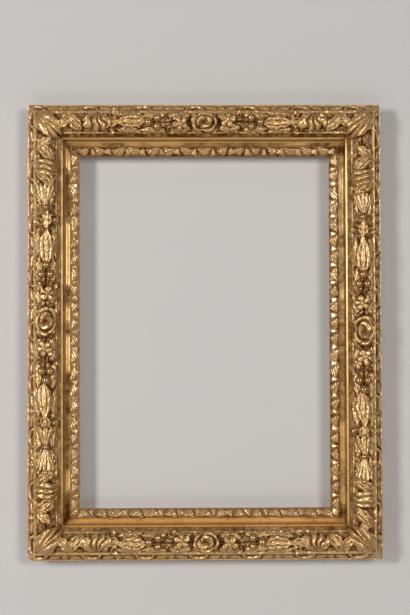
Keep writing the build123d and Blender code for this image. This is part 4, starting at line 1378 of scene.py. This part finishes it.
def slab_faces(rows, columns):
    """Faces of an upper and a lower grid of points, joined along their border."""
    cell = np.arange(rows * columns).reshape(rows, columns)
    upper = np.stack([cell[:-1, :-1], cell[:-1, 1:], cell[1:, 1:], cell[1:, :-1]], axis=-1).reshape(-1, 4)
    border = np.concatenate([cell[:, 0], cell[-1, 1:], cell[-2::-1, -1], cell[0, -2:0:-1]])
    beside = np.roll(border, -1)
    wall = np.stack([border, beside, beside + cell.size, border + cell.size], axis=1)
    return upper.tolist() + (upper[:, ::-1] + cell.size).tolist() + wall.tolist()


def screw_tree():
    tree = Grower("screws", Model="Object", Largest_Turn="Float")
    model = tree.add("GeometryNodeObjectInfo", {"Object": tree.given["Model"], "As Instance": True})
    between = {2: 0.0, 3: tree.given["Largest Turn"], "Seed": SCREW_SEED}
    angle = tree.add("FunctionNodeRandomValue", between, data_type="FLOAT").outputs[1]
    turn = tree.get("FunctionNodeAxisAngleToRotation", {"Axis": (0, 1, 0), "Angle": angle})
    on_points = {"Points": tree.given["Geometry"], "Instance": model.outputs["Geometry"], "Rotation": turn}
    tree.end(tree.get("GeometryNodeInstanceOnPoints", on_points))
    return tree


steel = aged_metal("aged_steel", STEEL, STEEL_BROWN, STEEL_DULL)
points, (rows, columns) = screw_points()
shank = [[index + 2 * rows * columns for index in face] for face in ring_faces(2, SHANK_SIDES, True)]
screw_model = new_piece("screw_model", points, slab_faces(rows, columns) + shank, steel, HEAD_CREASE)
screws = screw_tree()
hanger_place = [(0.0, HANGER_SCREW_LEVEL)]
button_places = [(x, z) for x in (-BUTTON_ACROSS, BUTTON_ACROSS) for z in BUTTON_LEVELS.values()]
for name, places in (("hanger_screw", hanger_place), ("turn_button_screws", button_places)):
    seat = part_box(name)[1][1] / MM - HEAD_HEIGHT
    piece = new_piece("steel_" + name, [(x, seat, z) for x, z in places], [], steel)
    screws.grow(piece, Model=screw_model, Largest_Turn=SCREW_TURN, Finish=steel)
    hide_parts(name)
    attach(piece, "frame")
bpy.data.objects.remove(screw_model)


# Studio: a pale wall close behind the frame, a pale floor, and soft lamps, two in front at the sides, weak
# ones above and below, and two behind for the back. The wall shows only its front, so that the back can be
# seen as well, and lets the light of lamps through just where the frame hangs.
MIDDLE = (0.0, 0.0, -0.26)
LIT_REACH = 0.37
WALL_Y = 0.0034
FLOOR_Z = -1.4
STUDIO_REACH = 4.0
STUDIO_GREY = shade(207, 204, 201)
STUDIO_ROUGHNESS = 0.9
ROOM_GREY = shade(116, 115, 114)
ROOM_LIGHT = shade(32, 31, 30)
CAMERA_AT = (-0.0319, -2.0, -0.2956)
CAMERA_PITCH = 1.894
CAMERA_ROLL = 0.174
CAMERA_YAW = -0.929
LENS = 90.4


def one_sided(name, colour):
    wall = Finish(name)
    wall.wear(Base_Color=colour, Roughness=STUDIO_ROUGHNESS)
    light = wall.add("ShaderNodeLightPath").outputs["Is Shadow Ray"]
    back = wall.add("ShaderNodeNewGeometry").outputs["Backfacing"]
    spot = wall.add("ShaderNodeTexCoord").outputs["Object"]
    reach = wall.add("ShaderNodeVectorMath", {0: spot, 1: MIDDLE}, operation="DISTANCE").outputs["Value"]
    lit = wall.times(light, wall.sum(reach, LIT_REACH, "LESS_THAN"))
    unseen = wall.sum(lit, back, "MAXIMUM")
    clear = wall.get("ShaderNodeBsdfTransparent")
    mix = wall.get("ShaderNodeMixShader", {0: unseen, 1: wall.skin.outputs["BSDF"], 2: clear})
    wall.feed(mix, wall.tree.nodes["Material Output"].inputs["Surface"])
    return wall.material


studio_grey = one_sided("studio_grey", STUDIO_GREY)
left, right = -STUDIO_REACH, STUDIO_REACH
wall_corners = [(left, FLOOR_Z), (right, FLOOR_Z), (right, STUDIO_REACH), (left, STUDIO_REACH)]
floor_corners = [(left, left), (right, left), (right, right), (left, right)]
for name, corners in (
    ("wall", [(x, WALL_Y, z) for x, z in wall_corners]),
    ("floor", [(x, y, FLOOR_Z) for x, y in floor_corners]),
):
    new_piece(name, np.array(corners) / MM, [range(len(corners))], studio_grey)


def lamp(name, place, size, watts):
    """A soft lamp that looks at the middle of the frame, and isn't seen itself."""
    data = bpy.data.lights.new(name, "AREA")
    data.shape = "RECTANGLE"
    data.size, data.size_y = size
    data.energy = watts
    back = np.array(place) - np.array(MIDDLE)
    back = back / np.linalg.norm(back)
    aside = np.cross((0, 0, 1), back)
    aside = aside / np.linalg.norm(aside)
    piece = bpy.data.objects.new(name, data)
    piece.location = place
    axes = np.stack([aside, np.cross(back, aside), back], axis=1)
    piece.rotation_euler = Matrix(axes.tolist()).to_euler()
    piece.visible_camera = False
    bpy.context.scene.collection.objects.link(piece)


lamp("left_lamp", (-2.11, -2.62, 0.22), size=(0.56, 0.84), watts=57.0)
lamp("right_lamp", (1.41, -3.04, 0.22), size=(0.9, 0.9), watts=37.5)
lamp("upper_lamp", (0.0, -1.5, 2.0), size=(1.4, 0.7), watts=4.0)
lamp("lower_lamp", (0.0, -1.8, -1.2), size=(1.2, 0.4), watts=2.4)
lamp("rear_left_lamp", (-1.2, 1.4, 0.3), size=(0.8, 1.0), watts=26.0)
lamp("rear_right_lamp", (1.2, 1.4, 0.3), size=(0.8, 1.0), watts=20.0)

room = bpy.data.worlds.new("studio")
room.use_nodes = True
bpy.context.scene.world = room
air = Finish("studio", room.node_tree)
rays = air.add("ShaderNodeLightPath").outputs
seen = air.sum(rays["Is Camera Ray"], rays["Is Glossy Ray"], "MAXIMUM")
seen = air.sum(seen, rays["Is Transmission Ray"], "MAXIMUM")
air.feed(air.blend(seen, ROOM_LIGHT, ROOM_GREY), room.node_tree.nodes["Background"].inputs["Color"])

camera = bpy.data.objects.new("camera", bpy.data.cameras.new("camera"))
camera.data.lens = LENS
camera.location = CAMERA_AT
camera.rotation_euler = (radians(90 + CAMERA_PITCH), radians(CAMERA_ROLL), radians(CAMERA_YAW))
bpy.context.scene.collection.objects.link(camera)
bpy.context.scene.camera = camera
bpy.context.scene.view_settings.view_transform = "Standard"
